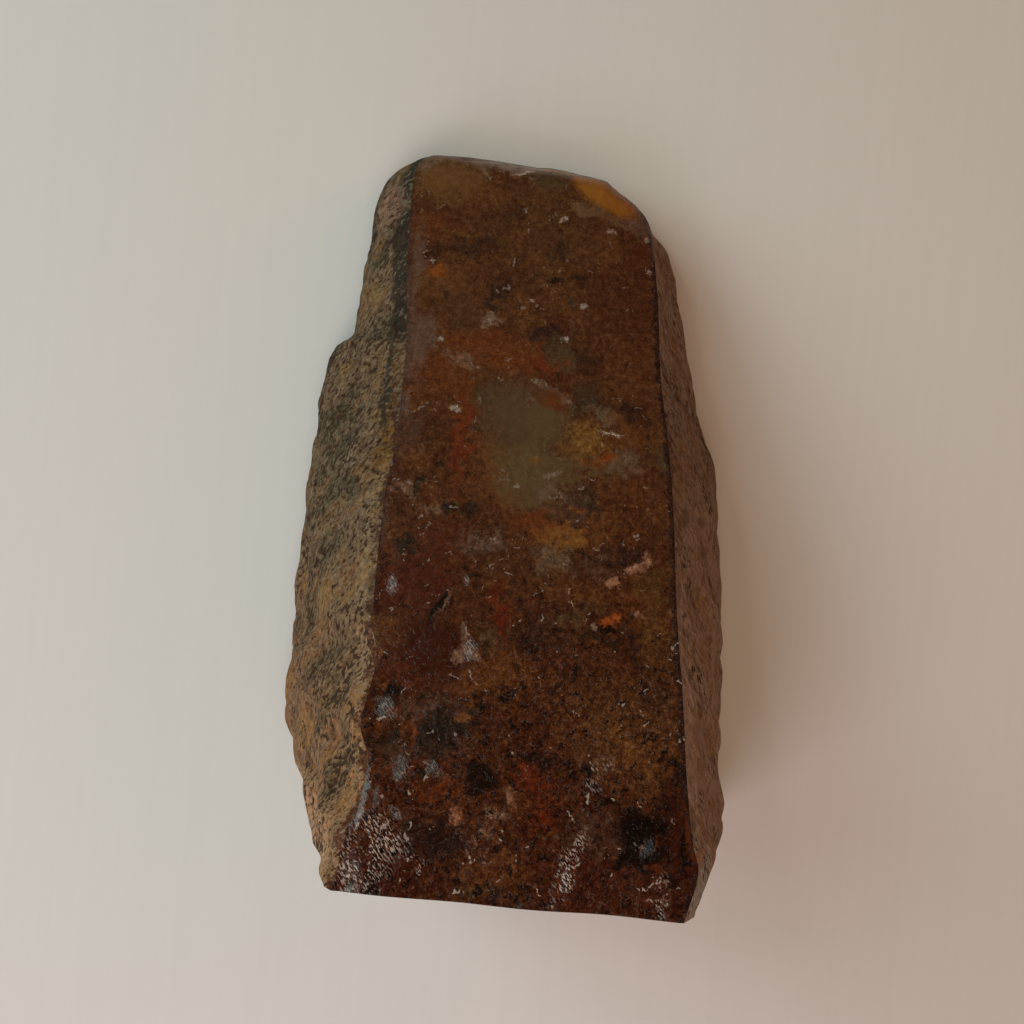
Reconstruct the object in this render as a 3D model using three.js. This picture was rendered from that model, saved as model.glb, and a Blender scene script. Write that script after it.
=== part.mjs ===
// Quartz freeform: a palm-sized block of moss jasper and chalcedony, sawn flat at its thick end,
// polished on its front face and left natural on its sides and back. It lies on its back, with the
// polished face up, on a flat spot. Millimetres, +Z up: X runs across the polished face, and Y runs
// from the sawn base to the thin tip.
import * as THREE from 'three';

// The block as a whole
const BASE_Y = -62;
const TIP_Y = 62;
const FACE_HEIGHT_AT_BASE = 60.6;
const FACE_HEIGHT_AT_TIP = 15.4;
const FACE_CROWN = 0.9;
const RIM_RADIUS = 3.6;
const TIP_BULGE = 1.4;

// Height of the line where the stone is widest, as a share of the face's height, plus an offset
const WAIST_SHARE = 0.12;
const WAIST_OFFSET = 2;

// Swell of the sides between the waist and the ridges, as [station, swell]: less at the broken
// corners of the base
const LEFT_SWELL = [[-62, 0.3], [-52, 1.3], [62, 1.3]];
const RIGHT_SWELL = [[-62, 0.2], [-52, 2.1], [62, 2]];

// Lines along the stone, as [station along Y, place across X], from the sawn base to the tip
const LEFT_RIDGE = [
  [-62, -24], [-58, -23.3], [-55, -23.4], [-51, -21.6], [-44, -21], [-39, -22.9], [-29.5, -21.8],
  [-23, -23.3], [-4, -24], [6, -23.4], [20, -23.7], [39, -25.7], [56, -26.8], [62, -26],
];
const RIGHT_RIDGE = [
  [-62, 28.2], [-54, 30.2], [-51, 29.4], [-42, 28.2], [-28, 27.1], [-12, 25.6], [2, 24.8],
  [17, 23.4], [30, 21.6], [44, 20.7], [62, 18.8],
];
const LEFT_WAIST = [
  [-62, -37.9], [-59, -38.9], [-54.5, -40.6], [-48, -43], [-41, -43.6], [-5.5, -44], [9, -43],
  [19, -42.1], [25.8, -40.8], [27, -38.9], [28.4, -38.1], [46, -36.6], [53.5, -35.6], [57, -34.5],
  [62, -31.6],
];
const RIGHT_WAIST = [
  [-62, 41.8], [-59, 43], [-54, 42.3], [-48, 41.6], [-22, 40.9], [-5, 39.1], [10, 37.7],
  [15, 36.3], [24, 33.6], [36, 30.1], [48, 26.6], [58, 23.4], [62, 22.2],
];
const LEFT_FOOT = [[-62, -27], [-46, -31], [-22, -29], [4, -32], [28, -24], [44, -20], [62, -17]];
const RIGHT_FOOT = [[-62, 30], [-44, 27], [-18, 30], [8, 24], [26, 18], [46, 13], [62, 9]];

// Height of the back over the surface below: nothing along the flat spot, a little past its ends
const BACK_RISE = [[-62, 1.8], [-50, 0], [34, 0], [48, 1.6], [62, 3.4]];

// Worn bevels beside the two ridges, as [station, width]
const LEFT_BEVEL = [[-62, 1.6], [-30, 1.6], [-8, 3.4], [26, 3.2], [40, 1.8], [62, 2.2]];
const RIGHT_BEVEL = [[-62, 3], [-46, 1.4], [62, 1]];

// Plan of the tip, as [place across X, reach along Y]: the right corner is chamfered
const TIP_PLAN = [
  [-32, 62], [-26, 62.6], [-18, 62.8], [-8, 62.6], [-1.5, 62.5], [4.5, 61.6], [9.5, 60.8],
  [11, 59.7], [16, 56.3], [18, 54.4], [19.5, 52.6], [26, 51],
];

// Dents of the natural skin
const DENT_COUNT = 40;
const DENT_DEPTH = 0.5;
const DENT_RADIUS_MIN = 2;
const DENT_RADIUS_MAX = 4.4;
const DENT_STRETCH = 1.6;
const GOLDEN_SHARE = 0.6180339887;
const SECOND_SHARE = 0.7548776662;
const THIRD_SHARE = 0.5698402910;

// How finely the surface is divided
const ROWS_ALONG = 47;
const RIM_ROWS = 3;
const TIP_RINGS = 4;
const COLUMNS = {
  face: 16, rightBevel: 1, rightSide: 17, rightUnder: 6, back: 13, leftUnder: 6, leftSide: 19,
  leftBevel: 1,
};

// A smooth curve through [station, value] pairs: cubic Hermite spans that never overshoot a value.
function follow(points, station) {
  const last = points.length - 1;
  if (station <= points[0][0]) return points[0][1];
  if (station >= points[last][0]) return points[last][1];
  const slope = (i) => (points[i + 1][1] - points[i][1]) / (points[i + 1][0] - points[i][0]);
  const tangent = (i) => {
    if (i === 0) return slope(0);
    if (i === last) return slope(last - 1);
    const before = slope(i - 1);
    const after = slope(i);
    return before * after <= 0 ? 0 : (2 * before * after) / (before + after);
  };
  const i = points.findIndex((point) => point[0] > station) - 1;
  const span = points[i + 1][0] - points[i][0];
  const s = (station - points[i][0]) / span;
  const rise = points[i + 1][1] - points[i][1];
  const startBend = tangent(i) * span;
  const endBend = tangent(i + 1) * span;
  const ease = s * s * (3 - 2 * s);
  return points[i][1] + rise * ease
    + startBend * s * (1 - s) * (1 - s) - endBend * s * s * (1 - s);
}

// Height of the polished face: a plane that falls from base to tip, a little crowned along Y.
function faceHeight(station) {
  const share = (station - BASE_Y) / (TIP_Y - BASE_Y);
  const plane = FACE_HEIGHT_AT_BASE + (FACE_HEIGHT_AT_TIP - FACE_HEIGHT_AT_BASE) * share;
  return plane + FACE_CROWN * Math.sin(Math.PI * share);
}

// The corners of the cross-section at a station, as {x, z} pairs.
function corners(station) {
  const faceZ = faceHeight(station);
  const waistZ = WAIST_OFFSET + WAIST_SHARE * faceZ;
  const backZ = follow(BACK_RISE, station);
  const leftBevel = follow(LEFT_BEVEL, station);
  const rightBevel = follow(RIGHT_BEVEL, station);
  const leftRidge = { x: follow(LEFT_RIDGE, station), z: faceZ };
  const rightRidge = { x: follow(RIGHT_RIDGE, station), z: faceZ };
  return {
    leftRidge,
    rightRidge,
    rightShoulder: { x: rightRidge.x + 0.7 * rightBevel, z: faceZ - rightBevel },
    rightWaist: { x: follow(RIGHT_WAIST, station), z: waistZ },
    rightFoot: { x: follow(RIGHT_FOOT, station), z: backZ },
    leftFoot: { x: follow(LEFT_FOOT, station), z: backZ },
    leftWaist: { x: follow(LEFT_WAIST, station), z: waistZ },
    leftShoulder: { x: leftRidge.x - 0.8 * leftBevel, z: faceZ - 0.8 * leftBevel },
  };
}

// A straight run between two corners that swells outward in its middle.
function sideRun(from, to, s, swell) {
  return {
    x: THREE.MathUtils.lerp(from.x, to.x, s) + swell * Math.sin(Math.PI * s),
    z: THREE.MathUtils.lerp(from.z, to.z, s),
  };
}

// A quarter of an ellipse between a foot, where it is level, and a waist, where it is upright.
function underRun(foot, waist, s) {
  const turn = s * Math.PI / 2;
  return {
    x: foot.x + (waist.x - foot.x) * Math.sin(turn),
    z: foot.z + (waist.z - foot.z) * (1 - Math.cos(turn)),
  };
}

// One cross-section, all the way round: points with the share of natural skin that each one has.
function section(station) {
  const c = corners(station);
  const leftSwell = follow(LEFT_SWELL, station);
  const rightSwell = follow(RIGHT_SWELL, station);
  const runs = [
    [COLUMNS.face, (s) => sideRun(c.leftRidge, c.rightRidge, s, 0), () => 0],
    [COLUMNS.rightBevel, (s) => sideRun(c.rightRidge, c.rightShoulder, s, 0), () => 0],
    [COLUMNS.rightSide, (s) => sideRun(c.rightShoulder, c.rightWaist, s, rightSwell),
      (s) => Math.min(1, 5 * s)],
    [COLUMNS.rightUnder, (s) => underRun(c.rightFoot, c.rightWaist, 1 - s), (s) => 1 - s],
    [COLUMNS.back, (s) => sideRun(c.rightFoot, c.leftFoot, s, 0), () => 0],
    [COLUMNS.leftUnder, (s) => underRun(c.leftFoot, c.leftWaist, s), (s) => s],
    [COLUMNS.leftSide, (s) => sideRun(c.leftWaist, c.leftShoulder, s, -leftSwell),
      (s) => Math.min(1, 5 * (1 - s))],
    [COLUMNS.leftBevel, (s) => sideRun(c.leftShoulder, c.leftRidge, s, 0), () => 0],
  ];
  return runs.flatMap(([count, place, skin]) => Array.from({ length: count }, (_, i) => ({
    ...place(i / count),
    skin: skin(i / count),
  })));
}

// Slow waves of the natural skin: three crossed sines, about a finger's width apart.
function lumps(x, y, z) {
  return 0.26 * Math.sin(0.31 * y + 0.23 * z + 0.9)
    + 0.24 * Math.sin(0.42 * z - 0.19 * y + 0.15 * x + 2.1)
    + 0.18 * Math.sin(0.67 * y - 0.38 * z + 0.5);
}

// Long shallow dents of the skin, spread evenly over both sides by a golden-ratio walk.
const dents = Array.from({ length: DENT_COUNT }, (_, i) => ({
  side: i % 2 === 0 ? -1 : 1,
  y: THREE.MathUtils.lerp(BASE_Y + 5, TIP_Y - 8, (i * GOLDEN_SHARE) % 1),
  lift: THREE.MathUtils.lerp(0.18, 0.85, (i * SECOND_SHARE) % 1),
  radius: THREE.MathUtils.lerp(DENT_RADIUS_MIN, DENT_RADIUS_MAX, (i * THIRD_SHARE) % 1),
}));

function dentDepth(x, y, z) {
  const facing = dents.filter((dent) => dent.side * x > 0);
  return facing.reduce((depth, dent) => {
    const along = (y - dent.y) / (dent.radius * DENT_STRETCH);
    const up = (z - dent.lift * faceHeight(dent.y)) / dent.radius;
    return depth + DENT_DEPTH * Math.exp(-(along * along + up * up));
  }, 0);
}

// Faint swells left by the polishing wheel, stronger near the sawn base.
function faceSwell(x, y) {
  const nearBase = THREE.MathUtils.smoothstep(-y, 20, 55);
  return (0.1 + 0.22 * nearBase) * Math.sin(0.27 * x + 0.5 + 0.11 * y)
    + (0.08 + 0.2 * nearBase) * Math.sin(0.31 * y - 0.12 * x + 1.2);
}

// A cross-section's points in space, drawn in towards its middle by an inset or down to a share of it.
function row(station, inset, share) {
  const faceZ = faceHeight(station);
  const middle = {
    x: (follow(LEFT_RIDGE, station) + follow(RIGHT_RIDGE, station)) / 2,
    z: faceZ / 2,
  };
  return section(station).map((point, column) => {
    const isFace = column > 0 && column < COLUMNS.face;
    const skinRelief = lumps(point.x, station, point.z) - dentDepth(point.x, station, point.z);
    const relief = isFace ? faceSwell(point.x, station) : point.skin * skinRelief;
    const outX = point.x - middle.x;
    const outZ = point.z - middle.z;
    const reach = Math.hypot(outX, outZ);
    const scale = share * (reach + relief - inset) / reach;
    const x = middle.x + outX * scale;
    const z = middle.z + outZ * scale;
    const stretch = (follow(TIP_PLAN, x) - BASE_Y) / (TIP_Y - BASE_Y);
    return new THREE.Vector3(x, BASE_Y + (station - BASE_Y) * stretch, z);
  });
}

// All rows from the sawn base to the tip: the body, the rounded rim, and the rings of the blunt end.
function rows() {
  const rimStart = TIP_Y - RIM_RADIUS;
  const list = [];
  for (let i = 0; i <= ROWS_ALONG; i += 1) {
    list.push(row(BASE_Y + (rimStart - BASE_Y) * i / ROWS_ALONG, 0, 1));
  }
  for (let i = 1; i <= RIM_ROWS; i += 1) {
    const turn = (Math.PI / 2) * i / RIM_ROWS;
    list.push(row(rimStart + RIM_RADIUS * Math.sin(turn), RIM_RADIUS * (1 - Math.cos(turn)), 1));
  }
  for (let i = 1; i < TIP_RINGS; i += 1) {
    const share = 1 - i / TIP_RINGS;
    const bulge = TIP_BULGE * (1 - share * share);
    list.push(row(TIP_Y + bulge, RIM_RADIUS, share));
  }
  return list;
}

// The average of a ring of points: the centre of the fan that closes an end.
function centreOf(points) {
  const sum = points.reduce((total, point) => total.add(point), new THREE.Vector3());
  return sum.divideScalar(points.length);
}

// The closed stone: quads between the rows, a flat fan on the sawn base and a fan at the tip.
function stoneGeometry() {
  const rings = rows();
  const around = rings[0].length;
  const baseCentre = centreOf(rings[0]);
  const tipCentre = centreOf(rings[rings.length - 1]);
  const points = [...rings.flat(), baseCentre, tipCentre];
  const baseIndex = points.length - 2;
  const tipIndex = points.length - 1;
  const faces = [];
  for (let r = 0; r + 1 < rings.length; r += 1) {
    for (let c = 0; c < around; c += 1) {
      const here = r * around + c;
      const beside = r * around + (c + 1) % around;
      faces.push(here, beside, beside + around, here, beside + around, here + around);
    }
  }
  const lastRing = (rings.length - 1) * around;
  for (let c = 0; c < around; c += 1) {
    const next = (c + 1) % around;
    faces.push(baseIndex, next, c);
    faces.push(tipIndex, lastRing + c, lastRing + next);
  }
  const geometry = new THREE.BufferGeometry().setFromPoints(points);
  geometry.setIndex(faces);
  geometry.computeVertexNormals();
  return geometry;
}

// The origin sits under the middle of the stone's box, on the surface that it lies on.
function centred(geometry) {
  geometry.computeBoundingBox();
  const box = geometry.boundingBox;
  geometry.translate(-(box.min.x + box.max.x) / 2, -(box.min.y + box.max.y) / 2, -box.min.z);
  return geometry;
}

const stoneMaterial = new THREE.MeshStandardMaterial({ color: 0x4a2a1c, roughness: 0.35, metalness: 0 });
const stone = new THREE.Mesh(centred(stoneGeometry()), stoneMaterial);
stone.name = 'stone';

const freeform = new THREE.Group();
freeform.add(stone);

export default freeform;
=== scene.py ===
# A quartz freeform: a wedge of moss jasper and chalcedony that lies on its back, seen from above.
# The polished face is up, the sides and the back are natural skin, and the thick end is sawn flat.
import itertools
import math

import bpy
import numpy as np
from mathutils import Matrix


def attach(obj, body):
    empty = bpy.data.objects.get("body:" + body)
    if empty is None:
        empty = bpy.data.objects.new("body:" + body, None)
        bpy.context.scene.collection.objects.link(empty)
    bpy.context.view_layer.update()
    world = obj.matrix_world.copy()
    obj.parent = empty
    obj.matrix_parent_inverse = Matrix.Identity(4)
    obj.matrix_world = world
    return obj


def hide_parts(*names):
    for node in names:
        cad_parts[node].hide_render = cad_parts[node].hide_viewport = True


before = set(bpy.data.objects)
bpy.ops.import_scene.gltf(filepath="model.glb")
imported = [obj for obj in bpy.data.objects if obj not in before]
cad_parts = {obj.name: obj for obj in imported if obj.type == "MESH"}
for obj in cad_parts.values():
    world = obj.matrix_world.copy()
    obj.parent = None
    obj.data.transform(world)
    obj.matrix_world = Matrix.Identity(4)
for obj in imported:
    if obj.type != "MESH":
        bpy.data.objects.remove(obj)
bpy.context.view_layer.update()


# ---------------------------------------------------------------------------------------------
# The stone's form. One block, broken from a seam, sawn across its thick end and ground to a
# sloping face; its sides and back keep the skin that it had in the ground. It is one closed
# surface: cross-sections in millimetres, from the sawn base to the thin tip.
# ---------------------------------------------------------------------------------------------

# The polished face, in millimetres: its ends along Y, its height at each end, how much it is
# crowned, how round its rim at the tip is, and how far the wall below that rim bulges
BASE_Y = -62
TIP_Y = 62
FACE_HEIGHT_AT_BASE = 60.6
FACE_HEIGHT_AT_TIP = 15.4
FACE_CROWN = 0.9
RIM_RADIUS = 3.6
TIP_BULGE = 1.4

# The waist, where the sides stand upright: its height is this share of the face's, and this many
# millimetres more
WAIST_SHARE = 0.12
WAIST_OFFSET = 2

# How far each bevel reaches sideways and down, as shares of its number in the lines below; the
# right one goes down by all of it
LEFT_BEVEL_RUN = 0.8
LEFT_BEVEL_DROP = 0.8
RIGHT_BEVEL_RUN = 0.7

# The lumps grow to their full height over one part in this many of each side
LUMP_FADE = 5

# The middle of the stone's box, in the numbers of the outlines below
BOX_MIDDLE_X = -0.643
BOX_MIDDLE_Y = 0.978

# Lines along the stone, as (station along Y, value) in millimetres
LEFT_RIDGE = (
    (-62, -24), (-58, -23.3), (-55, -23.4), (-51, -21.6), (-44, -21), (-39, -22.9), (-29.5, -21.8),
    (-23, -23.3), (-4, -24), (6, -23.4), (20, -23.7), (39, -25.7), (56, -26.8), (62, -26),
)
RIGHT_RIDGE = (
    (-62, 28.2), (-54, 30.2), (-51, 29.4), (-42, 28.2), (-28, 27.1), (-12, 25.6), (2, 24.8),
    (17, 23.4), (30, 21.6), (44, 20.7), (62, 18.8),
)
LEFT_WAIST = (
    (-62, -37.9), (-59, -38.9), (-54.5, -40.6), (-48, -43), (-41, -43.6), (-5.5, -44), (9, -43),
    (19, -42.1), (25.8, -40.8), (27, -38.9), (28.4, -38.1), (46, -36.6), (53.5, -35.6), (57, -34.5),
    (62, -31.6),
)
RIGHT_WAIST = (
    (-62, 41.8), (-59, 43), (-54, 42.3), (-48, 41.6), (-22, 40.9), (-5, 39.1), (10, 37.7),
    (15, 36.3), (24, 33.6), (36, 30.1), (48, 26.6), (58, 23.4), (62, 22.2),
)
LEFT_FOOT = ((-62, -27), (-46, -31), (-22, -29), (4, -32), (28, -24), (44, -20), (62, -17))
RIGHT_FOOT = ((-62, 30), (-44, 27), (-18, 30), (8, 24), (26, 18), (46, 13), (62, 9))
BACK_RISE = ((-62, 1.8), (-50, 0), (34, 0), (48, 1.6), (62, 3.4))
LEFT_BEVEL = ((-62, 1.6), (-30, 1.6), (-8, 3.4), (26, 3.2), (40, 1.8), (62, 2.2))
RIGHT_BEVEL = ((-62, 3), (-46, 1.4), (62, 1))
LEFT_SWELL = ((-62, 0.3), (-52, 1.3), (62, 1.3))
RIGHT_SWELL = ((-62, 0.2), (-52, 2.1), (62, 2))

# The edge of the tip seen from above, as (place across X, place along Y)
TIP_PLAN = (
    (-32, 62), (-26, 62.6), (-18, 62.8), (-8, 62.6), (-1.5, 62.5), (4.5, 61.6), (9.5, 60.8),
    (11, 59.7), (16, 56.3), (18, 54.4), (19.5, 52.6), (26, 51),
)

# How finely the surface is divided: columns round a cross-section, and rows along the stone
FACE_COLUMNS = 48
RIGHT_BEVEL_COLUMNS = 3
RIGHT_SIDE_COLUMNS = 76
UNDER_COLUMNS = 14
BACK_COLUMNS = 20
LEFT_SIDE_COLUMNS = 112
LEFT_BEVEL_COLUMNS = 8
BASE_RINGS = 10
BODY_ROWS = 300
RIM_ROWS = 12
TIP_RINGS = 12


def follow(points, station):
    """A smooth curve through (station, value) pairs: cubic Hermite spans whose end slopes are the
    harmonic mean of the slopes beside them, and nought at a turn, so no value is overshot."""
    at, value = np.array(points, dtype=float).T
    slope = np.diff(value) / np.diff(at)
    product = slope[:-1] * slope[1:]
    both = np.where(product > 0, slope[:-1] + slope[1:], 1.0)
    inner = np.where(product > 0, 2 * product / both, 0.0)
    tangent = np.concatenate((slope[:1], inner, slope[-1:]))
    x = np.clip(station, at[0], at[-1])
    i = np.clip(np.searchsorted(at, x, side="right") - 1, 0, len(at) - 2)
    span = at[i + 1] - at[i]
    s = (x - at[i]) / span
    ease = s * s * (3 - 2 * s)
    bend = tangent[i] * s * (1 - s) ** 2 - tangent[i + 1] * s * s * (1 - s)
    return value[i] + (value[i + 1] - value[i]) * ease + bend * span


def smooth_step(low, high, value):
    """Nought below low, one above high, and s*s*(3-2*s) between them."""
    s = np.clip((value - low) / (high - low), 0, 1)
    return s * s * (3 - 2 * s)


def face_height(station):
    """Height of the polished face: a plane that falls from base to tip, crowned by half a sine."""
    share = (station - BASE_Y) / (TIP_Y - BASE_Y)
    plane = FACE_HEIGHT_AT_BASE + (FACE_HEIGHT_AT_TIP - FACE_HEIGHT_AT_BASE) * share
    return plane + FACE_CROWN * np.sin(np.pi * share)


def straight_run(start, end, count, swell=0.0):
    """Points between two corners: start + (end - start) * s, pushed across by a swell times half
    a sine of s."""
    s = np.arange(count) / count
    x = start[0] + (end[0] - start[0]) * s + swell * np.sin(np.pi * s)
    z = start[1] + (end[1] - start[1]) * s
    return x, z


def under_run(foot, waist, count, from_foot):
    """A quarter ellipse, level at the foot and upright at the waist, walked either way."""
    s = np.arange(count) / count
    turn = (s if from_foot else 1 - s) * np.pi / 2
    x = foot[0] + (waist[0] - foot[0]) * np.sin(turn)
    z = foot[1] + (waist[1] - foot[1]) * (1 - np.cos(turn))
    return x, z


def section(station):
    """Cross-sections at a column of stations, made of straight runs and quarter ellipses from the
    left ridge round to itself: x and z of each point, its share of natural skin, and its distance
    in millimetres from the nearer ridge."""
    face_z = face_height(station)
    waist_z = WAIST_OFFSET + WAIST_SHARE * face_z
    back_z = follow(BACK_RISE, station)
    left_bevel = follow(LEFT_BEVEL, station)
    right_bevel = follow(RIGHT_BEVEL, station)
    left_ridge = (follow(LEFT_RIDGE, station), face_z)
    right_ridge = (follow(RIGHT_RIDGE, station), face_z)
    right_shoulder = (right_ridge[0] + RIGHT_BEVEL_RUN * right_bevel, face_z - right_bevel)
    right_waist = (follow(RIGHT_WAIST, station), waist_z)
    right_foot = (follow(RIGHT_FOOT, station), back_z)
    left_foot = (follow(LEFT_FOOT, station), back_z)
    left_waist = (follow(LEFT_WAIST, station), waist_z)
    left_shoulder = (
        left_ridge[0] - LEFT_BEVEL_RUN * left_bevel, face_z - LEFT_BEVEL_DROP * left_bevel,
    )
    runs = (
        straight_run(left_ridge, right_ridge, FACE_COLUMNS),
        straight_run(right_ridge, right_shoulder, RIGHT_BEVEL_COLUMNS),
        straight_run(right_shoulder, right_waist, RIGHT_SIDE_COLUMNS, follow(RIGHT_SWELL, station)),
        under_run(right_foot, right_waist, UNDER_COLUMNS, from_foot=False),
        straight_run(right_foot, left_foot, BACK_COLUMNS),
        under_run(left_foot, left_waist, UNDER_COLUMNS, from_foot=True),
        straight_run(left_waist, left_shoulder, LEFT_SIDE_COLUMNS, -follow(LEFT_SWELL, station)),
        straight_run(left_shoulder, left_ridge, LEFT_BEVEL_COLUMNS),
    )
    x, z = (np.concatenate(parts, axis=1) for parts in zip(*runs))
    z = np.broadcast_to(z, x.shape)
    right_s = np.arange(RIGHT_SIDE_COLUMNS) / RIGHT_SIDE_COLUMNS
    left_s = np.arange(LEFT_SIDE_COLUMNS) / LEFT_SIDE_COLUMNS
    under_s = np.arange(UNDER_COLUMNS) / UNDER_COLUMNS
    skin = np.concatenate((
        np.zeros(FACE_COLUMNS + RIGHT_BEVEL_COLUMNS),
        np.minimum(1, LUMP_FADE * right_s),
        1 - under_s,
        np.zeros(BACK_COLUMNS),
        under_s,
        np.minimum(1, LUMP_FADE * (1 - left_s)),
        np.zeros(LEFT_BEVEL_COLUMNS),
    ))
    to_left = np.hypot(x - left_ridge[0], z - face_z)
    to_right = np.hypot(x - right_ridge[0], z - face_z)
    return x, z, skin, np.minimum(to_left, to_right)


def lumps(x, y, z):
    """Slow waves of the natural skin: the sum of three crossed sines."""
    return (
        0.26 * np.sin(0.31 * y + 0.23 * z + 0.9)
        + 0.24 * np.sin(0.42 * z - 0.19 * y + 0.15 * x + 2.1)
        + 0.18 * np.sin(0.67 * y - 0.38 * z + 0.5)
    )


# Dents: how many, how deep and how wide in millimetres, and how much longer than wide. They keep
# off both ends of the stone, and are spread up its sides from a lowest share of their height
DENT_COUNT = 40
DENT_DEPTH = 0.5
DENT_RADIUS_MIN = 2
DENT_RADIUS_MAX = 4.4
DENT_STRETCH = 1.6
DENT_MARGIN_BASE = 5
DENT_MARGIN_TIP = 8
DENT_LOWEST = 0.18
DENT_SPREAD = 0.67
GOLDEN_SHARE = 0.6180339887
SECOND_SHARE = 0.7548776662
THIRD_SHARE = 0.5698402910


def dent_depth(x, y, z):
    """Long shallow dents: each is DENT_DEPTH times e ** -(distance squared), with the distance in
    its own radii. Walks with irrational steps spread them along the stone, up it and in size."""
    depth = np.zeros(x.shape)
    length = TIP_Y - BASE_Y - DENT_MARGIN_BASE - DENT_MARGIN_TIP
    for i in range(DENT_COUNT):
        side = -1 if i % 2 == 0 else 1
        centre_y = BASE_Y + DENT_MARGIN_BASE + length * (i * GOLDEN_SHARE % 1)
        lift = DENT_LOWEST + DENT_SPREAD * (i * SECOND_SHARE % 1)
        radius = DENT_RADIUS_MIN + (DENT_RADIUS_MAX - DENT_RADIUS_MIN) * (i * THIRD_SHARE % 1)
        along = (y - centre_y) / (radius * DENT_STRETCH)
        up = (z - lift * face_height(centre_y)) / radius
        depth += np.where(side * x > 0, DENT_DEPTH * np.exp(-(along ** 2 + up ** 2)), 0)
    return depth


def face_swell(x, y):
    """Faint swells left by the polishing wheel: two crossed sines, stronger near the sawn base."""
    near_base = smooth_step(20, 55, -y)
    return (
        (0.1 + 0.22 * near_base) * np.sin(0.27 * x + 0.5 + 0.11 * y)
        + (0.08 + 0.2 * near_base) * np.sin(0.31 * y - 0.12 * x + 1.2)
    )


def rings(station, inset, share):
    """Rows of points in space, and their distances from the nearer ridge, from columns of stations,
    of insets towards the section's middle and of shares down to which a row is shrunk. With reach
    the distance of a point from the middle, it is at middle + (point - middle) * share *
    (reach + relief - inset) / reach. Stations are stretched until TIP_Y follows the tip's plan."""
    x, z, skin, ridge_gap = section(station)
    middle_x = (follow(LEFT_RIDGE, station) + follow(RIGHT_RIDGE, station)) / 2
    middle_z = face_height(station) / 2
    is_face = np.zeros(x.shape, dtype=bool)
    is_face[:, 1:FACE_COLUMNS] = True
    skin_relief = lumps(x, station, z) - dent_depth(x, station, z)
    relief = np.where(is_face, face_swell(x, station), skin * skin_relief)
    reach = np.hypot(x - middle_x, z - middle_z)
    scale = share * (reach + relief - inset) / reach
    px = middle_x + (x - middle_x) * scale
    pz = middle_z + (z - middle_z) * scale
    py = BASE_Y + (station - BASE_Y) * (follow(TIP_PLAN, px) - BASE_Y) / (TIP_Y - BASE_Y)
    return np.stack((px, py, pz), axis=-1), ridge_gap


rim_start = TIP_Y - RIM_RADIUS
base_share = np.arange(1, BASE_RINGS + 1) / (BASE_RINGS + 1)
body_station = np.linspace(BASE_Y, rim_start, BODY_ROWS)
rim_turn = np.arange(1, RIM_ROWS + 1) / RIM_ROWS * np.pi / 2
tip_share = 1 - np.arange(1, TIP_RINGS) / TIP_RINGS
station = np.concatenate((
    np.full(BASE_RINGS, BASE_Y),
    body_station,
    rim_start + RIM_RADIUS * np.sin(rim_turn),
    TIP_Y + TIP_BULGE * (1 - tip_share ** 2),
))[:, None]
inset = np.concatenate((
    np.zeros(BASE_RINGS + BODY_ROWS),
    RIM_RADIUS * (1 - np.cos(rim_turn)),
    np.full(TIP_RINGS - 1, RIM_RADIUS),
))[:, None]
share = np.concatenate((base_share, np.ones(BODY_ROWS + RIM_ROWS), tip_share))[:, None]
points, ridge_gap = rings(station, inset, share)


# The bedding rises towards the tip; these turns about X and Y, in radians, lay its layers level
LAYER_TURN = (math.radians(-29.7), math.radians(26.9), 0)


def scatter(cell, seed):
    """A number from 0 to 1 for each lattice point: its indices times large odd numbers, with
    their bits folded over each other."""
    mixed = (cell[..., 0] * 73856093) ^ (cell[..., 1] * 19349663) ^ (cell[..., 2] * 83492791)
    mixed = (mixed + seed * 668265263) & 0xFFFFFFFF
    mixed = ((mixed ^ (mixed >> 13)) * 1274126177) & 0xFFFFFFFF
    return ((mixed ^ (mixed >> 16)) & 0xFFFF) / 0xFFFF


def clouds(place, size, seed):
    """Smooth noise from -1 to 1: lattice values at the corners of cubes, blended by s*s*(3-2*s)."""
    scaled = place / size
    cell = np.floor(scaled).astype(np.int64)
    part = scaled - cell
    ease = part * part * (3 - 2 * part)
    total = np.zeros(place.shape[:-1])
    for corner in itertools.product((0, 1), repeat=3):
        weight = np.where(np.array(corner) == 1, ease, 1 - ease).prod(axis=-1)
        total += weight * scatter(cell + np.array(corner), seed)
    return 2 * total - 1


def pits(place, size, seed):
    """Depth from 0 to 1 of ragged pits: two octaves of smooth noise, turned over, and a smooth
    step from the level where a pit starts to the level where it is at its deepest."""
    hollow = 0.64 * clouds(place, size, seed) + 0.36 * clouds(place, 0.47 * size, seed + 7)
    pit_start = 0.16
    pit_bottom = 0.52
    return smooth_step(pit_start, pit_bottom, -hollow)


# Fine relief, in millimetres along the surface's normal: pits and grain in the skin, small waves
# on the polished face near the sawn base, and nothing on the sawn base itself. Pits and swells
# are drawn out along the bedding: in its plane, a place counts for only these shares
PIT_STRETCH = (0.55, 0.55, 1.0)
SWELL_STRETCH = (0.35, 0.35, 1.0)
COARSE_PIT_SIZE = 1.6
COARSE_PIT_DEPTH = 0.22
SMALL_PIT_SIZE = 0.95
SMALL_PIT_DEPTH = 0.12
SWELL_SIZE = 3.2
SWELL_DEPTH = 0.12
GRAIN_DEPTH = 0.05
FACE_WAVE_DEPTH = 0.07
FACE_RIPPLE_DEPTH = 0.03

# How much of the relief the back and the tip have; the sides have all of it, but for a strip
# beside each ridge
BACK_RELIEF = 0.7
TIP_RELIEF = 0.8

along_rows = np.gradient(points, axis=0)
along_columns = np.roll(points, -1, axis=1) - np.roll(points, 1, axis=1)
normal = np.cross(along_columns, along_rows)
normal /= np.linalg.norm(normal, axis=-1, keepdims=True) + 1e-9

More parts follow.
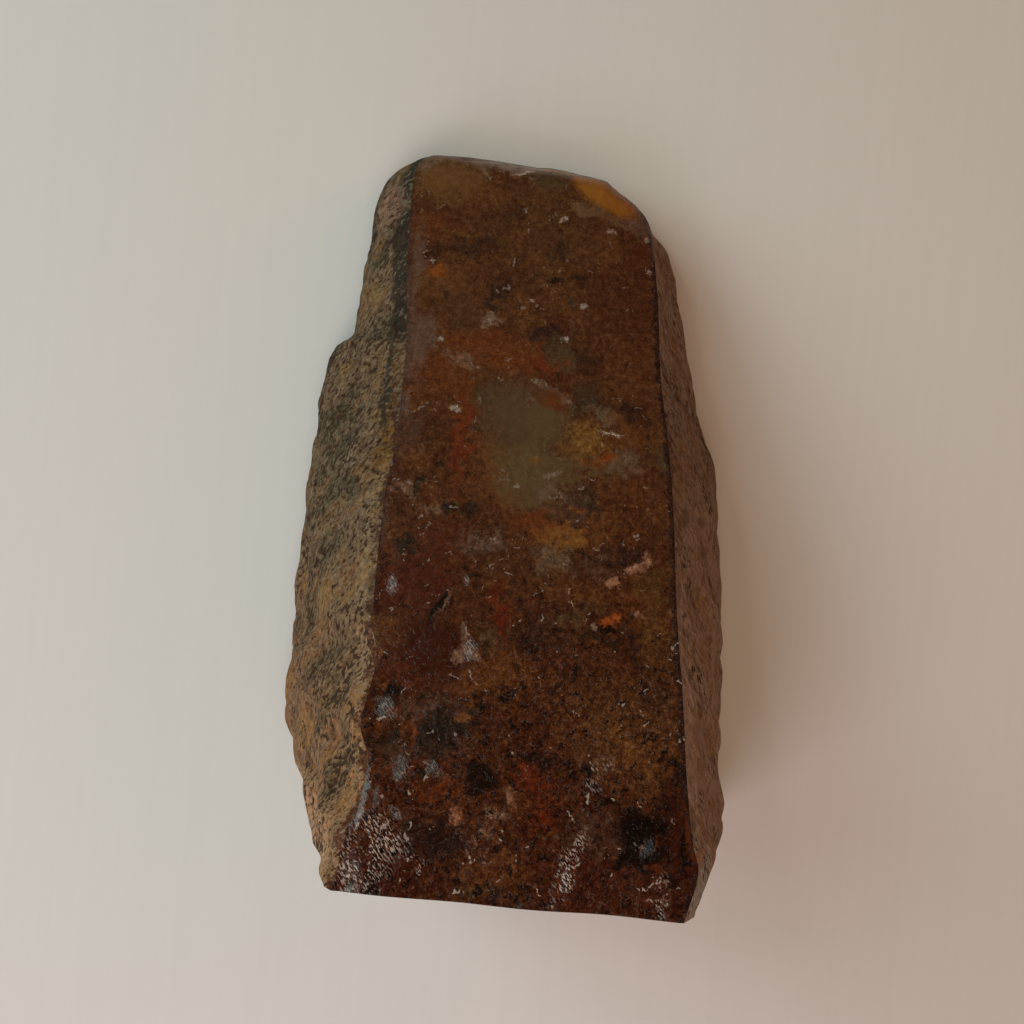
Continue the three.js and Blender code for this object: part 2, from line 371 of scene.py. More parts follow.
columns = points.shape[1]
back_start = FACE_COLUMNS + RIGHT_BEVEL_COLUMNS + RIGHT_SIDE_COLUMNS + UNDER_COLUMNS
is_back = np.zeros(points.shape[:2], dtype=bool)
is_back[:, back_start:back_start + BACK_COLUMNS] = True
rim_row = BASE_RINGS + BODY_ROWS
row_number = np.arange(points.shape[0])[:, None]
is_base = np.broadcast_to(row_number < BASE_RINGS + 1, is_back.shape)
is_end = np.broadcast_to(row_number >= rim_row + RIM_ROWS // 2, is_back.shape)

tilt_x, tilt_y, _ = LAYER_TURN
cos_x, sin_x = np.cos(tilt_x), np.sin(tilt_x)
cos_y, sin_y = np.cos(tilt_y), np.sin(tilt_y)
turn_x = np.array([(1, 0, 0), (0, cos_x, -sin_x), (0, sin_x, cos_x)])
turn_y = np.array([(cos_y, 0, sin_y), (0, 1, 0), (-sin_y, 0, cos_y)])
layered = points @ (turn_y @ turn_x).T
stretched = layered * np.array(PIT_STRETCH)
coarse_pits = pits(stretched, COARSE_PIT_SIZE, seed=11)
small_pits = pits(stretched, SMALL_PIT_SIZE, seed=31)
skin_grain = clouds(points, 1.3, seed=51) + 0.6 * clouds(points, 0.7, seed=52)
swells = clouds(layered * np.array(SWELL_STRETCH), SWELL_SIZE, seed=53)
side_share = smooth_step(0.6, 3.0, ridge_gap)
skin_share = np.where(is_back, BACK_RELIEF, np.where(is_end, TIP_RELIEF, side_share))
skin_share = np.where(is_base, 0, skin_share)
on_face = np.zeros(is_back.shape, dtype=bool)
on_face[:, :FACE_COLUMNS + 1] = True
on_face &= ~is_end
skin_fine = (
    SWELL_DEPTH * swells + GRAIN_DEPTH * skin_grain
    - COARSE_PIT_DEPTH * coarse_pits - SMALL_PIT_DEPTH * small_pits
)
skin_fine = np.where(is_back, np.minimum(skin_fine, 0), skin_fine)
near_base = smooth_step(28, 58, -points[..., 1])
face_waves = FACE_WAVE_DEPTH * clouds(points, 4.5, seed=61)
face_ripples = FACE_RIPPLE_DEPTH * clouds(points, 2.0, seed=62)
face_fine = near_base * (face_waves + face_ripples)
face_edge = smooth_step(0, 2.5, ridge_gap)
fine = np.where(on_face & ~is_base, face_fine * face_edge, skin_fine * skin_share)
points = points + normal * fine[..., None]
points[..., 1] = np.where(is_base, BASE_Y, points[..., 1])
points[..., 2] = np.maximum(points[..., 2], 0)

base_centre = points[0].mean(axis=0)
tip_centre = points[-1].mean(axis=0)
vertices = np.concatenate((points.reshape(-1, 3), base_centre[None], tip_centre[None]))
vertices -= np.array([BOX_MIDDLE_X, BOX_MIDDLE_Y, 0])

# The mesh is in metres
MILLIMETRE = 0.001
vertices *= MILLIMETRE

# Quads between neighbouring rows, and a fan of triangles at each end
rows = points.shape[0]
around = np.arange(columns)
after = (around + 1) % columns
row_start = np.arange(rows - 1)[:, None] * columns
here = row_start + around
beside = row_start + after
quads = np.stack((here, beside, beside + columns, here + columns), axis=-1).reshape(-1, 4)
last = (rows - 1) * columns
base_fan = np.stack((np.full(columns, rows * columns), after, around), axis=-1)
tip_fan = np.stack((np.full(columns, rows * columns + 1), last + around, last + after), axis=-1)
faces = quads.tolist() + base_fan.tolist() + tip_fan.tolist()

stone_mesh = bpy.data.meshes.new("stone_surface")
stone_mesh.from_pydata(vertices.tolist(), [], faces)
stone_mesh.update()

# Which finish each face has: 0 to 2 polished, in three stretches along Y that end at these
# millimetres, 3 natural skin, 4 sawn. Edges that turn by more than SHARP_ANGLE degrees are crisp
SKIN = 3
SAWN = 4
FACE_STRETCHES = (-70, -25, 12, 70)
SHARP_ANGLE = 38
face_row = np.repeat(np.arange(rows - 1), columns)
face_column = np.tile(np.arange(columns), rows - 1)
middle_y = vertices[quads].mean(axis=1)[:, 1] / MILLIMETRE
stretch = np.digitize(middle_y, FACE_STRETCHES[1:-1])
is_polished = (face_column < FACE_COLUMNS) & (face_row < rim_row + RIM_ROWS)
finish = np.where(is_polished, stretch, SKIN)
finish[face_row < BASE_RINGS] = SAWN
finish = np.concatenate((finish, np.full(columns, SAWN), np.full(columns, SKIN))).astype(np.int32)
stone_mesh.polygons.foreach_set("material_index", finish)
stone_mesh.polygons.foreach_set("use_smooth", np.ones(len(finish), dtype=bool))
stone_mesh.set_sharp_from_angle(angle=math.radians(SHARP_ANGLE))

# The left ridge is a crisp edge all the way, also where the skin beside it slopes little
edge_ends = np.empty(len(stone_mesh.edges) * 2, dtype=np.int32)
stone_mesh.edges.foreach_get("vertices", edge_ends)
edge_ends = edge_ends.reshape(-1, 2)
is_ridge = ((edge_ends % columns == 0) & (edge_ends // columns < rim_row)).all(axis=1)
is_sharp = np.empty(len(is_ridge), dtype=bool)
stone_mesh.edges.foreach_get("use_edge_sharp", is_sharp)
stone_mesh.edges.foreach_set("use_edge_sharp", is_sharp | is_ridge)

# For the materials: how deep in a pit each point is, and how far from the nearer ridge
pit_depth = np.clip(0.7 * coarse_pits + 0.5 * small_pits, 0, 1)
for name, values in (("pit", pit_depth), ("ridge_gap", ridge_gap)):
    attribute = stone_mesh.attributes.new(name, "FLOAT", "POINT")
    ends = np.array([values[0].mean(), values[-1].mean()])
    attribute.data.foreach_set("value", np.concatenate((values.ravel(), ends)).astype(np.float32))

stone = bpy.data.objects.new("stone_block", stone_mesh)
bpy.context.scene.collection.objects.link(stone)
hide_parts("stone")
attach(stone, "root")


# ---------------------------------------------------------------------------------------------
# The polished face. Brown moss jasper: rust, maroon and ochre grains in a dark ground, with a
# window of grey-green chalcedony, a pool of wine-red carnelian and black manganese patches.
# ---------------------------------------------------------------------------------------------

# How much of the speckle's depth the red, green and blue channels take
SPECKLE_SHARES = (0.80, 1.04, 1.26)


class Shade:
    """A value, colour or vector in a material's node tree. + - * between values add Math nodes,
    and numbers may stand on either side. A number ** a value does too."""

    def __init__(self, tree, socket=None):
        self.tree = tree
        self.socket = socket

    def add(self, kind, settings, inputs, output=0):
        """A new node of this kind: first its settings, then its sockets' values or links."""
        node = self.tree.nodes.new(kind)
        for name, value in settings.items():
            setattr(node, name, value)
        for key, value in inputs.items():
            if isinstance(value, Shade):
                self.tree.links.new(value.socket, node.inputs[key])
            else:
                node.inputs[key].default_value = value
        return Shade(self.tree, node.outputs[output] if len(node.outputs) else None)

    def other(self, output):
        """Another output of the node that this value comes from."""
        return Shade(self.tree, self.socket.node.outputs[output])

    def math(self, operation, first, second):
        """Two numbers combined by a Math node."""
        return self.add("ShaderNodeMath", {"operation": operation}, {0: first, 1: second})

    def __add__(self, other):
        return self.math("ADD", self, other)

    def __radd__(self, other):
        return self.math("ADD", other, self)

    def __sub__(self, other):
        return self.math("SUBTRACT", self, other)

    def __rsub__(self, other):
        return self.math("SUBTRACT", other, self)

    def __mul__(self, other):
        return self.math("MULTIPLY", self, other)

    def __rmul__(self, other):
        return self.math("MULTIPLY", other, self)

    def __rpow__(self, other):
        return self.math("POWER", other, self)

    def between(self, low, high, start=0.0, end=1.0):
        """A smooth step of this value: start at low and end at high."""
        settings = {"interpolation_type": "SMOOTHSTEP"}
        inputs = {"Value": self, "From Min": low, "From Max": high, "To Min": start, "To Max": end}
        return self.add("ShaderNodeMapRange", settings, inputs)

    def noise(self, place, scale, detail=3.0, roughness=0.6, dimensions="3D", output=0):
        """A noise texture about nought: its value less a half, or its colour as it is."""
        inputs = {"Vector": place, "Scale": scale, "Detail": detail, "Roughness": roughness}
        value = self.add("ShaderNodeTexNoise", {"noise_dimensions": dimensions}, inputs, output)
        return value - 0.5 if output == 0 else value

    def vector(self, operation, first, second):
        """Two vectors or colours combined by a Vector Math node."""
        return self.add("ShaderNodeVectorMath", {"operation": operation}, {0: first, 1: second})

    def scaled(self, factor):
        """This colour or vector times one number."""
        return self.add("ShaderNodeVectorMath", {"operation": "SCALE"}, {0: self, "Scale": factor})

    def turned(self, degrees):
        """This place turned about Z."""
        inputs = {"Vector": self, "Rotation": (0, 0, math.radians(degrees))}
        return self.add("ShaderNodeMapping", {}, inputs)

    def stretched(self, scale):
        """This place or colour times three numbers: a small one draws marks out long."""
        return self.vector("MULTIPLY", self, scale)

    def axis(self, number):
        """One of the three numbers of this vector."""
        return self.add("ShaderNodeSeparateXYZ", {}, {0: self}, number)

    def blend(self, share, under, over):
        """Two colours mixed by a share; a colour is a Shade or three numbers."""
        colours = [c if isinstance(c, Shade) else (*c, 1) for c in (under, over)]
        inputs = {0: share, 6: colours[0], 7: colours[1]}
        return self.add("ShaderNodeMix", {"data_type": "RGBA"}, inputs, 2)

    def blend_value(self, share, under, over):
        """Two numbers mixed by a share."""
        return self.add("ShaderNodeMix", {"data_type": "FLOAT"}, {0: share, 2: under, 3: over})

    def speckled(self, colour, grain, depth):
        """A colour times e ** (grain * depth * share) in each channel: dark grains are redder."""
        gains = [math.e ** (grain * (depth * share)) for share in SPECKLE_SHARES]
        gain = self.add("ShaderNodeCombineXYZ", {}, {0: gains[0], 1: gains[1], 2: gains[2]})
        return self.vector("MULTIPLY", colour, gain)


def new_material(name):
    """An empty material, its drawing hand, and the object coordinates in millimetres."""
    material = bpy.data.materials.new(name)
    material.use_nodes = True
    tree = material.node_tree
    tree.nodes.clear()
    hand = Shade(tree)
    coordinates = hand.add("ShaderNodeTexCoord", {}, {}, 3)
    place = coordinates.scaled(1 / MILLIMETRE)
    return material, hand, place


def finish_material(hand, colour, roughness, height, settings):
    """The surface shader: colour, roughness, a bump of this height in millimetres, and settings
    that are the same all over."""
    bump = hand.add("ShaderNodeBump", {}, {"Height": height, "Distance": MILLIMETRE})
    inputs = {"Base Color": colour, "Roughness": roughness, "Normal": bump, **settings}
    surface = hand.add("ShaderNodeBsdfPrincipled", {}, inputs)
    hand.add("ShaderNodeOutputMaterial", {}, {"Surface": surface})


def patch(turned, centre, radii, turn, softness, strength):
    """A round or oval patch on a place that is already turned back by its turn: strength inside,
    nought outside, and a soft border between."""
    cosine = math.cos(math.radians(turn))
    sine = math.sin(math.radians(turn))
    own_x = centre[0] * cosine + centre[1] * sine
    own_y = centre[1] * cosine - centre[0] * sine
    inputs = {
        0: turned,
        1: (1 / radii[0], 1 / radii[1], 0),
        2: (-own_x / radii[0], -own_y / radii[1], 0),
    }
    local = turned.add("ShaderNodeVectorMath", {"operation": "MULTIPLY_ADD"}, inputs)
    distance = turned.add("ShaderNodeVectorMath", {"operation": "LENGTH"}, {0: local}, 1)
    return distance.between(1 + softness, 1 - softness, 0, strength)


# Colours of the jasper, as linear reflectances
MUSTARD = (0.135, 0.066, 0.022)
LILAC = (0.150, 0.080, 0.042)
LILAC_RIM = (0.175, 0.110, 0.070)
OLIVE = (0.078, 0.032, 0.012)
OLIVE_YELLOW = (0.100, 0.050, 0.015)
OLIVE_BLACK = (0.040, 0.017, 0.008)
GREY_OLIVE = (0.075, 0.047, 0.022)
MAUVE = (0.118, 0.066, 0.048)
AMBER = (0.280, 0.108, 0.018)
AMBER_YELLOW = (0.190, 0.085, 0.020)
AMBER_BROWN = (0.122, 0.050, 0.016)
ORANGE = (0.210, 0.058, 0.013)
BRIGHT_ORANGE = (0.290, 0.080, 0.018)
ORANGE_BROWN = (0.155, 0.055, 0.016)
RUST = (0.118, 0.034, 0.009)
RED_RUST = (0.130, 0.026, 0.008)
RED_BROWN = (0.084, 0.024, 0.010)
RED_OLIVE = (0.074, 0.026, 0.010)
RED = (0.110, 0.018, 0.007)
DARK_RED = (0.052, 0.012, 0.006)
WINE = (0.046, 0.011, 0.005)
WINE_RED = (0.070, 0.016, 0.007)
MAROON = (0.066, 0.021, 0.009)
BROWN = (0.078, 0.029, 0.011)
WARM_BROWN = (0.104, 0.040, 0.014)
PURPLE_BROWN = (0.072, 0.038, 0.025)
PURPLE_GREY = (0.080, 0.046, 0.034)
PURPLE_BLACK = (0.022, 0.012, 0.010)
GREEN_BLACK = (0.018, 0.013, 0.008)
TEAL_BLACK = (0.046, 0.031, 0.018)
BLUE_GREY = (0.135, 0.092, 0.056)
CHALCEDONY = (0.088, 0.052, 0.026)
CHALCEDONY_LIGHT = (0.108, 0.070, 0.032)
OCHRE = (0.168, 0.082, 0.022)
TAN = (0.104, 0.050, 0.020)
LAVENDER = (0.110, 0.066, 0.046)
CRUST = (0.190, 0.112, 0.074)
PEACH = (0.330, 0.190, 0.125)
PALE_PINK = (0.230, 0.150, 0.115)
PALE_GREY = (0.220, 0.165, 0.130)
WHITE = (0.440, 0.360, 0.300)
JET = (0.005, 0.003, 0.002)
# The colour of the painted highlight on the scratches at the glints, not a colour of the jasper
PAINTED_HIGHLIGHT = (0.620, 0.500, 0.420)
# The dark seam at the right ridge
SEAM = (0.022, 0.008, 0.005)

# The markings, in the order in which they lie over each other: centre across and along, half
# width and half length in millimetres, turn in degrees, how soft its border is, how strongly it
# covers, how far it calms the speckle that lies over it, and its colour
MARKINGS = (
    # The tip: mustard corner, lilac rim and the amber facet
    ((-0.6, 46.6), (11.1, 8.9), 0, 0.72, 0.5, 0, OLIVE),
    ((-19.4, 56.3), (6.8, 4.1), 0, 0.62, 0.95, 0.7, MUSTARD),
    ((-13.9, 54.3), (4.1, 2.6), 0, 0.72, 0.7, 0.5, AMBER_BROWN),
    ((-24.8, 59.8), (3.4, 1.3), 15, 0.62, 0.85, 0.8, LILAC_RIM),
    ((-9.0, 60.6), (6.5, 1.3), 0, 0.47, 0.9, 0.8, LILAC_RIM),
    # A painted highlight: this thin white streak is the sheen on the rim
    ((-5.6, 59.3), (1.9, 0.3), 15, 0.4, 0.9, 0.8, WHITE),
    ((0.4, 60.3), (4.6, 0.5), 0, 0.4, 0.85, 0.8, AMBER),
    ((-1.0, 58.0), (4.2, 1.7), 0, 0.62, 0.75, 0.6, GREY_OLIVE),
    ((9.3, 52.2), (6.4, 1.3), -15, 0.57, 0.8, 0.8, LILAC),
    ((17.0, 51.4), (2.4, 2.4), 0, 0.57, 0.85, 0.7, MAUVE),
    ((10.0, 56.4), (6.8, 2.6), -30, 0.32, 1, 0.9, AMBER),
    ((12.4, 56.8), (1.9, 0.6), -30, 0.6, 0.6, 0.9, OCHRE),
    ((-6.6, 51.0), (2.1, 1.3), 0, 0.72, 0.7, 0, OLIVE_BLACK),
    ((-22.0, 46.5), (3.3, 2.8), 0, 0.62, 0.7, 0.3, RUST),
    ((-14.5, 42.7), (7.7, 1.8), 15, 0.67, 0.8, 0, OLIVE_BLACK),
    ((-6.0, 45.0), (2.2, 1.7), 0, 0.62, 0.6, 0.2, WARM_BROWN),
    ((10.9, 46.2), (1.7, 5.9), 0, 0.72, 0.6, 0.3, AMBER_BROWN),
    ((18.1, 44.2), (2.4, 2.8), 0, 0.72, 0.6, 0.4, RED_BROWN),
    ((-1.1, 41.0), (2.2, 1.8), 0, 0.72, 0.55, 0.3, AMBER_BROWN),
    ((2.4, 43.8), (1.7, 2.8), 0, 0.72, 0.6, 0, GREEN_BLACK),
    ((16.4, 28.4), (6.1, 13.4), 0, 0.72, 0.35, 0, MAROON),
    # Mauve edge, orange spot and dark seams of the upper left
    ((-23.7, 37.1), (1.5, 8.7), 0, 0.62, 0.8, 0.6, MAUVE),
    ((-18.4, 35.3), (4.3, 3.3), 0, 0.62, 0.75, 0.5, AMBER_BROWN),
    ((-19.6, 37.5), (2.0, 1.5), 0, 0.52, 0.95, 0.4, ORANGE),
    ((-18.0, 33.3), (0.9, 0.9), 0, 0.72, 0.7, 0, GREEN_BLACK),
    ((-14.3, 30.6), (4.3, 2.9), 0, 0.72, 0.65, 0.5, OLIVE),
    ((-8.2, 33.3), (1.4, 3.1), -15, 0.72, 0.8, 0, GREEN_BLACK),
    ((-9.4, 28.4), (1.6, 0.9), 0, 0.5, 0.7, 0, CRUST),
    ((2.3, 37.6), (1.3, 0.5), 0, 0.5, 0.8, 0, JET),
    ((6.4, 38.8), (1.3, 0.7), 0, 0.5, 0.7, 0, JET),
    ((5.3, 33.5), (0.7, 1.3), 0, 0.4, 0.85, 0, TEAL_BLACK),
    ((-21.4, 25.6), (2.7, 2.8), 0, 0.62, 0.85, 0.5, MAUVE),
    ((-21.2, 20.4), (2.5, 4.2), 0, 0.57, 0.95, 0.5, MAUVE),
    ((-19.1, 24.9), (1.8, 1.2), -15, 0.72, 0.8, 0, LAVENDER),
    ((1.0, 26.9), (3.0, 1.4), 0, 0.62, 0.85, 0, PURPLE_BLACK),
    # Rust arc and teal band round the window
    ((-10.4, 24.3), (6.0, 2.5), 0, 0.57, 0.85, 0.3, RUST),
    ((-15.0, 18.4), (5.9, 4.2), 30, 0.67, 0.8, 0.3, RUST),
    ((-3.9, 22.1), (6.7, 2.8), 0, 0.62, 0.85, 0.2, RUST),
    ((2.3, 21.2), (2.1, 1.8), 0, 0.47, 1, 0.4, RED_RUST),
    ((-13.4, 21.0), (2.6, 1.1), 0, 0.72, 0.6, 0, CRUST),
    ((-10.7, 18.8), (2.1, 2.1), 0, 0.72, 0.6, 0.3, OLIVE),
    ((4.3, 23.3), (2.1, 3.2), 30, 0.57, 0.85, 0.5, GREY_OLIVE),
    ((8.6, 22.9), (2.8, 1.8), -15, 0.62, 0.75, 0, OLIVE_BLACK),
    ((18.2, 21.6), (3.9, 4.6), 0, 0.72, 0.6, 0, WARM_BROWN),
    ((10.1, 16.1), (3.0, 2.3), -30, 0.57, 0.85, 0.3, TEAL_BLACK),
    ((7.6, 13.1), (1.6, 1.2), 0, 0.57, 0.9, 0.3, TEAL_BLACK),
    ((12.7, 13.1), (2.6, 1.2), -30, 0.62, 0.8, 0.4, BLUE_GREY),
    ((3.6, 16.3), (3.7, 0.7), -30, 0.5, 0.5, 0, PALE_GREY),
    ((17.1, 14.2), (2.6, 1.6), -30, 0.72, 0.8, 0, PURPLE_BLACK),
    # The left of the window: brown, red streak and grey corner
    ((-20.2, 7.0), (2.0, 3.8), 0, 0.62, 0.7, 0.3, PURPLE_BROWN),
    ((-10.9, 12.8), (1.6, 4.8), 15, 0.72, 0.7, 0.4, RUST),
    ((-11.9, 6.4), (1.4, 7.5), 0, 0.62, 0.85, 0.4, RED_RUST),
    ((-9.0, 9.5), (1.2, 1.5), 0, 0.62, 0.7, 0.3, PURPLE_BROWN),
    ((-8.8, 14.6), (1.9, 1.7), 0, 0.62, 0.75, 0.4, GREY_OLIVE),
    ((-18.6, 2.3), (2.4, 1.5), 0, 0.67, 0.7, 0.2, AMBER_BROWN),
    ((-21.4, 11.2), (0.9, 2.1), 0, 0.5, 0.7, 0, LAVENDER),
    ((-20.3, -2.8), (2.0, 1.3), 0, 0.6, 0.6, 0, CRUST),
    ((-18.1, -1.8), (1.0, 1.5), 0, 0.62, 0.85, 0, GREEN_BLACK),
    # The chalcedony window, its amber rim and the ochre grains beside it
    ((-6.2, 4.0), (2.5, 3.1), 0, 0.57, 0.95, 0.8, AMBER_BROWN),
    ((-3.5, -0.9), (2.5, 3.7), 30, 0.57, 0.95, 0.8, AMBER_BROWN),
    ((15.9, 5.1), (3.7, 2.2), 15, 0.57, 0.9, 0.5, BLUE_GREY),
    ((23.2, 5.4), (1.5, 3.4), 30, 0.52, 0.85, 0.7, GREY_OLIVE),
    ((8.5, 3.5), (5.4, 1.7), 15, 0.52, 0.95, 0.8, CHALCEDONY_LIGHT),
    ((0.8, 2.4), (5.2, 6.8), 15, 0.62, 1, 0.8, CHALCEDONY_LIGHT),
    ((-3.0, 12.1), (5.3, 5.3), 0, 0.57, 1, 0.9, CHALCEDONY),
    ((2.8, 11.0), (3.4, 3.4), 0, 0.67, 0.9, 0.9, CHALCEDONY_LIGHT),
    ((3.1, 15.2), (2.4, 1.6), -30, 0.72, 0.85, 0.8, RUST),
    ((2.6, 6.4), (1.7, 1.2), 15, 0.72, 0.75, 0.5, GREY_OLIVE),
    ((0.8, 4.1), (0.8, 0.7), 0, 0.5, 0.8, 0.3, OCHRE),
    ((4.2, 1.9), (1.4, 0.3), 15, 0.6, 0.8, 0.9, PALE_GREY),
    ((3.6, -0.8), (1.7, 1.2), 30, 0.72, 0.8, 0.6, BLUE_GREY),
    ((9.4, 8.3), (3.4, 2.9), 0, 0.57, 1, 0, OCHRE),
    ((15.6, 11.2), (1.0, 3.1), 45, 0.57, 0.95, 0.3, AMBER_BROWN),
    ((10.8, 4.6), (2.2, 0.8), 0, 0.4, 0.8, 0.3, ORANGE_BROWN),
    ((13.6, 5.9), (1.4, 0.8), 15, 0.35, 0.95, 0.3, ORANGE),
    ((13.6, 9.9), (1.9, 0.2), 0, 0.5, 0.8, 0, WHITE),
    # Under the window: ring, orange and ochre clouds, lavender patch
    ((-14.3, -5.5), (2.2, 1.0), 15, 0.62, 0.7, 0, CRUST),
    ((-12.1, -5.8), (1.5, 1.3), 0, 0.62, 0.9, 0, GREEN_BLACK),
    ((-9.3, -4.8), (1.5, 1.3), 0, 0.67, 0.8, 0, GREEN_BLACK),
    ((15.8, 0.4), (6.4, 4.7), 0, 0.72, 0.4, 0, WARM_BROWN),
    ((2.0, -6.8), (4.0, 1.8), 0, 0.62, 0.9, 0.4, RUST),
    ((3.9, -7.4), (2.2, 1.5), 0, 0.62, 0.9, 0.5, ORANGE_BROWN),
    ((7.4, -8.9), (3.6, 1.7), 0, 0.57, 0.95, 0.3, AMBER_YELLOW),
    ((13.2, -6.6), (2.3, 2.2), 0, 0.62, 0.85, 0.2, AMBER_BROWN),
    ((8.8, -3.0), (3.2, 3.7), 0, 0.52, 0.95, 0, PURPLE_BROWN),
    ((11.2, -1.7), (1.5, 1.5), 0, 0.62, 0.8, 0, TEAL_BLACK),
    ((8.8, -3.5), (1.5, 0.5), 0, 0.4, 0.95, 0.3, ORANGE_BROWN),
    ((-6.1, -10.5), (4.1, 2.1), 0, 0.57, 0.95, 0, LAVENDER),
    ((-13.7, -10.7), (4.4, 3.3), 0, 0.67, 0.75, 0.4, RED_BROWN),
    ((-18.9, -12.2), (1.8, 1.8), 0, 0.62, 0.95, 0, GREEN_BLACK),
    ((5.3, -11.9), (3.3, 2.3), 0, 0.62, 0.8, 0.3, BLUE_GREY),
    ((-1.1, -13.8), (2.6, 2.3), 0, 0.62, 0.7, 0.2, OLIVE),
    ((11.1, -16.8), (5.9, 1.6), 0, 0.67, 0.7, 0.3, AMBER_BROWN),
    # The right: crust, olive patch, black slit
    ((13.2, -12.3), (2.3, 2.5), 0, 0.62, 0.8, 0, PURPLE_BROWN),
    ((21.6, -15.9), (3.3, 2.8), 0, 0.62, 0.85, 0.4, OLIVE_YELLOW),
    ((18.1, -10.4), (2.5, 1.6), 30, 0.62, 0.9, 0, PURPLE_BLACK),
    ((19.0, -12.6), (2.0, 0.7), 30, 0.5, 0.75, 0.2, PEACH),
    ((21.2, -10.8), (0.6, 1.3), 0, 0.5, 0.65, 0.2, PEACH),
    ((15.5, -15.0), (1.1, 0.8), 15, 0.35, 1, 0.3, PEACH),
    ((10.0, -20.7), (4.2, 1.3), 15, 0.62, 0.85, 0.2, GREY_OLIVE),
    ((14.3, -24.0), (3.5, 1.0), 0, 0.62, 0.85, 0.2, GREEN_BLACK),
    ((15.2, -22.4), (1.6, 0.6), 0, 0.3, 1, 0.5, JET),
    ((15.7, -20.8), (1.9, 0.8), 30, 0.25, 1, 0.5, BRIGHT_ORANGE),
    ((19.9, -20.0), (1.3, 0.5), -15, 0.4, 0.8, 0, PEACH),
    ((19.3, -25.4), (1.0, 5.4), 15, 0.67, 0.9, 0, PURPLE_BLACK),
    ((22.8, -23.3), (2.4, 4.2), 0, 0.67, 0.8, 0.1, OLIVE_YELLOW),
    ((23.4, -32.6), (2.0, 2.7), 0, 0.67, 0.85, 0, PURPLE_BLACK),
    ((3.1, -25.0), (4.2, 2.2), 0, 0.72, 0.6, 0, PURPLE_BLACK),
    # The carnelian pool
    ((-19.6, -25.5), (2.9, 2.6), 0, 0.62, 0.8, 0.3, AMBER_BROWN),
    ((-22.2, -27.3), (1.1, 7.2), 15, 0.62, 0.7, 0.2, OCHRE),
    ((-16.0, -18.2), (6.2, 3.9), 15, 0.52, 0.95, 0.5, WINE_RED),
    ((-12.9, -27.7), (5.7, 5.4), 0, 0.52, 0.95, 0.7, WINE),
    ((-12.1, -21.1), (0.8, 3.2), -30, 0.35, 0.95, 0.3, JET),
    # A painted highlight: the thin pale line along the black crack
    ((-11.2, -20.4), (0.3, 2.4), -30, 0.6, 0.55, 0, PEACH),
    ((-7.4, -19.4), (2.7, 3.2), 0, 0.67, 0.8, 0.4, RED_OLIVE),
    ((-2.4, -21.2), (1.0, 4.8), 15, 0.57, 0.95, 0.4, RED),
    ((-4.7, -14.7), (2.3, 1.8), 0, 0.62, 0.8, 0.3, OLIVE),
    ((-3.5, -25.8), (1.9, 1.8), 0, 0.62, 0.85, 0.4, GREY_OLIVE),
    ((-6.8, -26.8), (1.4, 1.3), 0, 0.72, 0.7, 0, PALE_PINK),
    ((-5.7, -28.6), (1.4, 1.0), 15, 0.72, 0.75, 0, PALE_GREY),
    ((-8.4, -28.5), (0.8, 1.1), 0, 0.4, 0.8, 0, PALE_PINK),
    # A painted reflection: this small pale grey spot is a glint painted into the colour
    ((-8.0, -24.5), (0.6, 1.3), 0, 0.6, 0.6, 0, PALE_GREY),
    ((-0.7, -30.3), (3.2, 4.1), 30, 0.62, 0.85, 0.3, AMBER_BROWN),
    ((-4.2, -32.2), (4.7, 1.7), 15, 0.62, 0.85, 0.3, AMBER_BROWN),
    ((-17.1, -32.2), (4.4, 2.2), 0, 0.62, 0.7, 0.3, RED_BROWN),
    # The green-black band and the purple and tan patches by it
    ((-12.8, -36.8), (4.7, 1.7), 15, 0.62, 0.9, 0.3, PURPLE_GREY),
    ((-11.7, -40.8), (8.0, 1.9), 15, 0.62, 1, 0.4, GREEN_BLACK),
    ((-14.6, -41.8), (4.6, 2.0), 15, 0.62, 0.9, 0.4, GREEN_BLACK),
    ((-8.8, -38.4), (2.8, 1.2), 0, 0.62, 0.8, 0.4, GREEN_BLACK),
    ((-18.7, -34.8), (2.0, 2.0), 0, 0.4, 0.95, 0.5, JET),
    ((-14.4, -38.9), (0.9, 2.8), 0, 0.62, 0.85, 0.3, ORANGE_BROWN),
    ((-6.6, -37.6), (1.2, 0.7), 0, 0.35, 0.95, 0.3, OCHRE),
    ((-5.3, -36.5), (1.4, 0.8), 0, 0.4, 0.85, 0.2, TEAL_BLACK),
    ((0.7, -33.1), (1.6, 0.9), 0, 0.4, 0.95, 0.2, JET),
    ((-15.4, -43.3), (3.7, 1.4), 15, 0.62, 0.85, 0.4, PURPLE_GREY),
    ((19.5, -38.2), (8.1, 6.8), 0, 0.72, 0.9, 0, TAN),
    ((18.8, -38.9), (1.6, 5.3), 45, 0.72, 0.75, 0, OCHRE),
    ((25.0, -45.5), (2.0, 1.2), 0, 0.72, 0.85, 0, OCHRE),
    ((24.4, -41.7), (4.2, 4.6), 0, 0.72, 0.7, 0, TAN),
    # The dark belt and the base: black manganese, red jasper, cream flecks
    ((-12.1, -47.0), (1.8, 1.1), 0, 0.62, 0.9, 0.2, GREEN_BLACK),
    ((-2.5, -45.4), (2.3, 2.3), 0, 0.45, 0.9, 0.5, JET),
    ((-3.6, -48.1), (1.4, 0.9), 0, 0.35, 1, 0.3, JET),
    ((5.9, -43.0), (4.0, 1.1), 0, 0.67, 0.85, 0, PURPLE_BLACK),
    ((12.5, -44.3), (1.4, 1.4), 0, 0.4, 0.9, 0, JET),
    ((4.6, -45.7), (2.8, 1.5), 0, 0.62, 0.9, 0.3, RED_RUST),
    ((-8.0, -48.3), (3.6, 1.4), 0, 0.67, 0.8, 0.2, RUST),
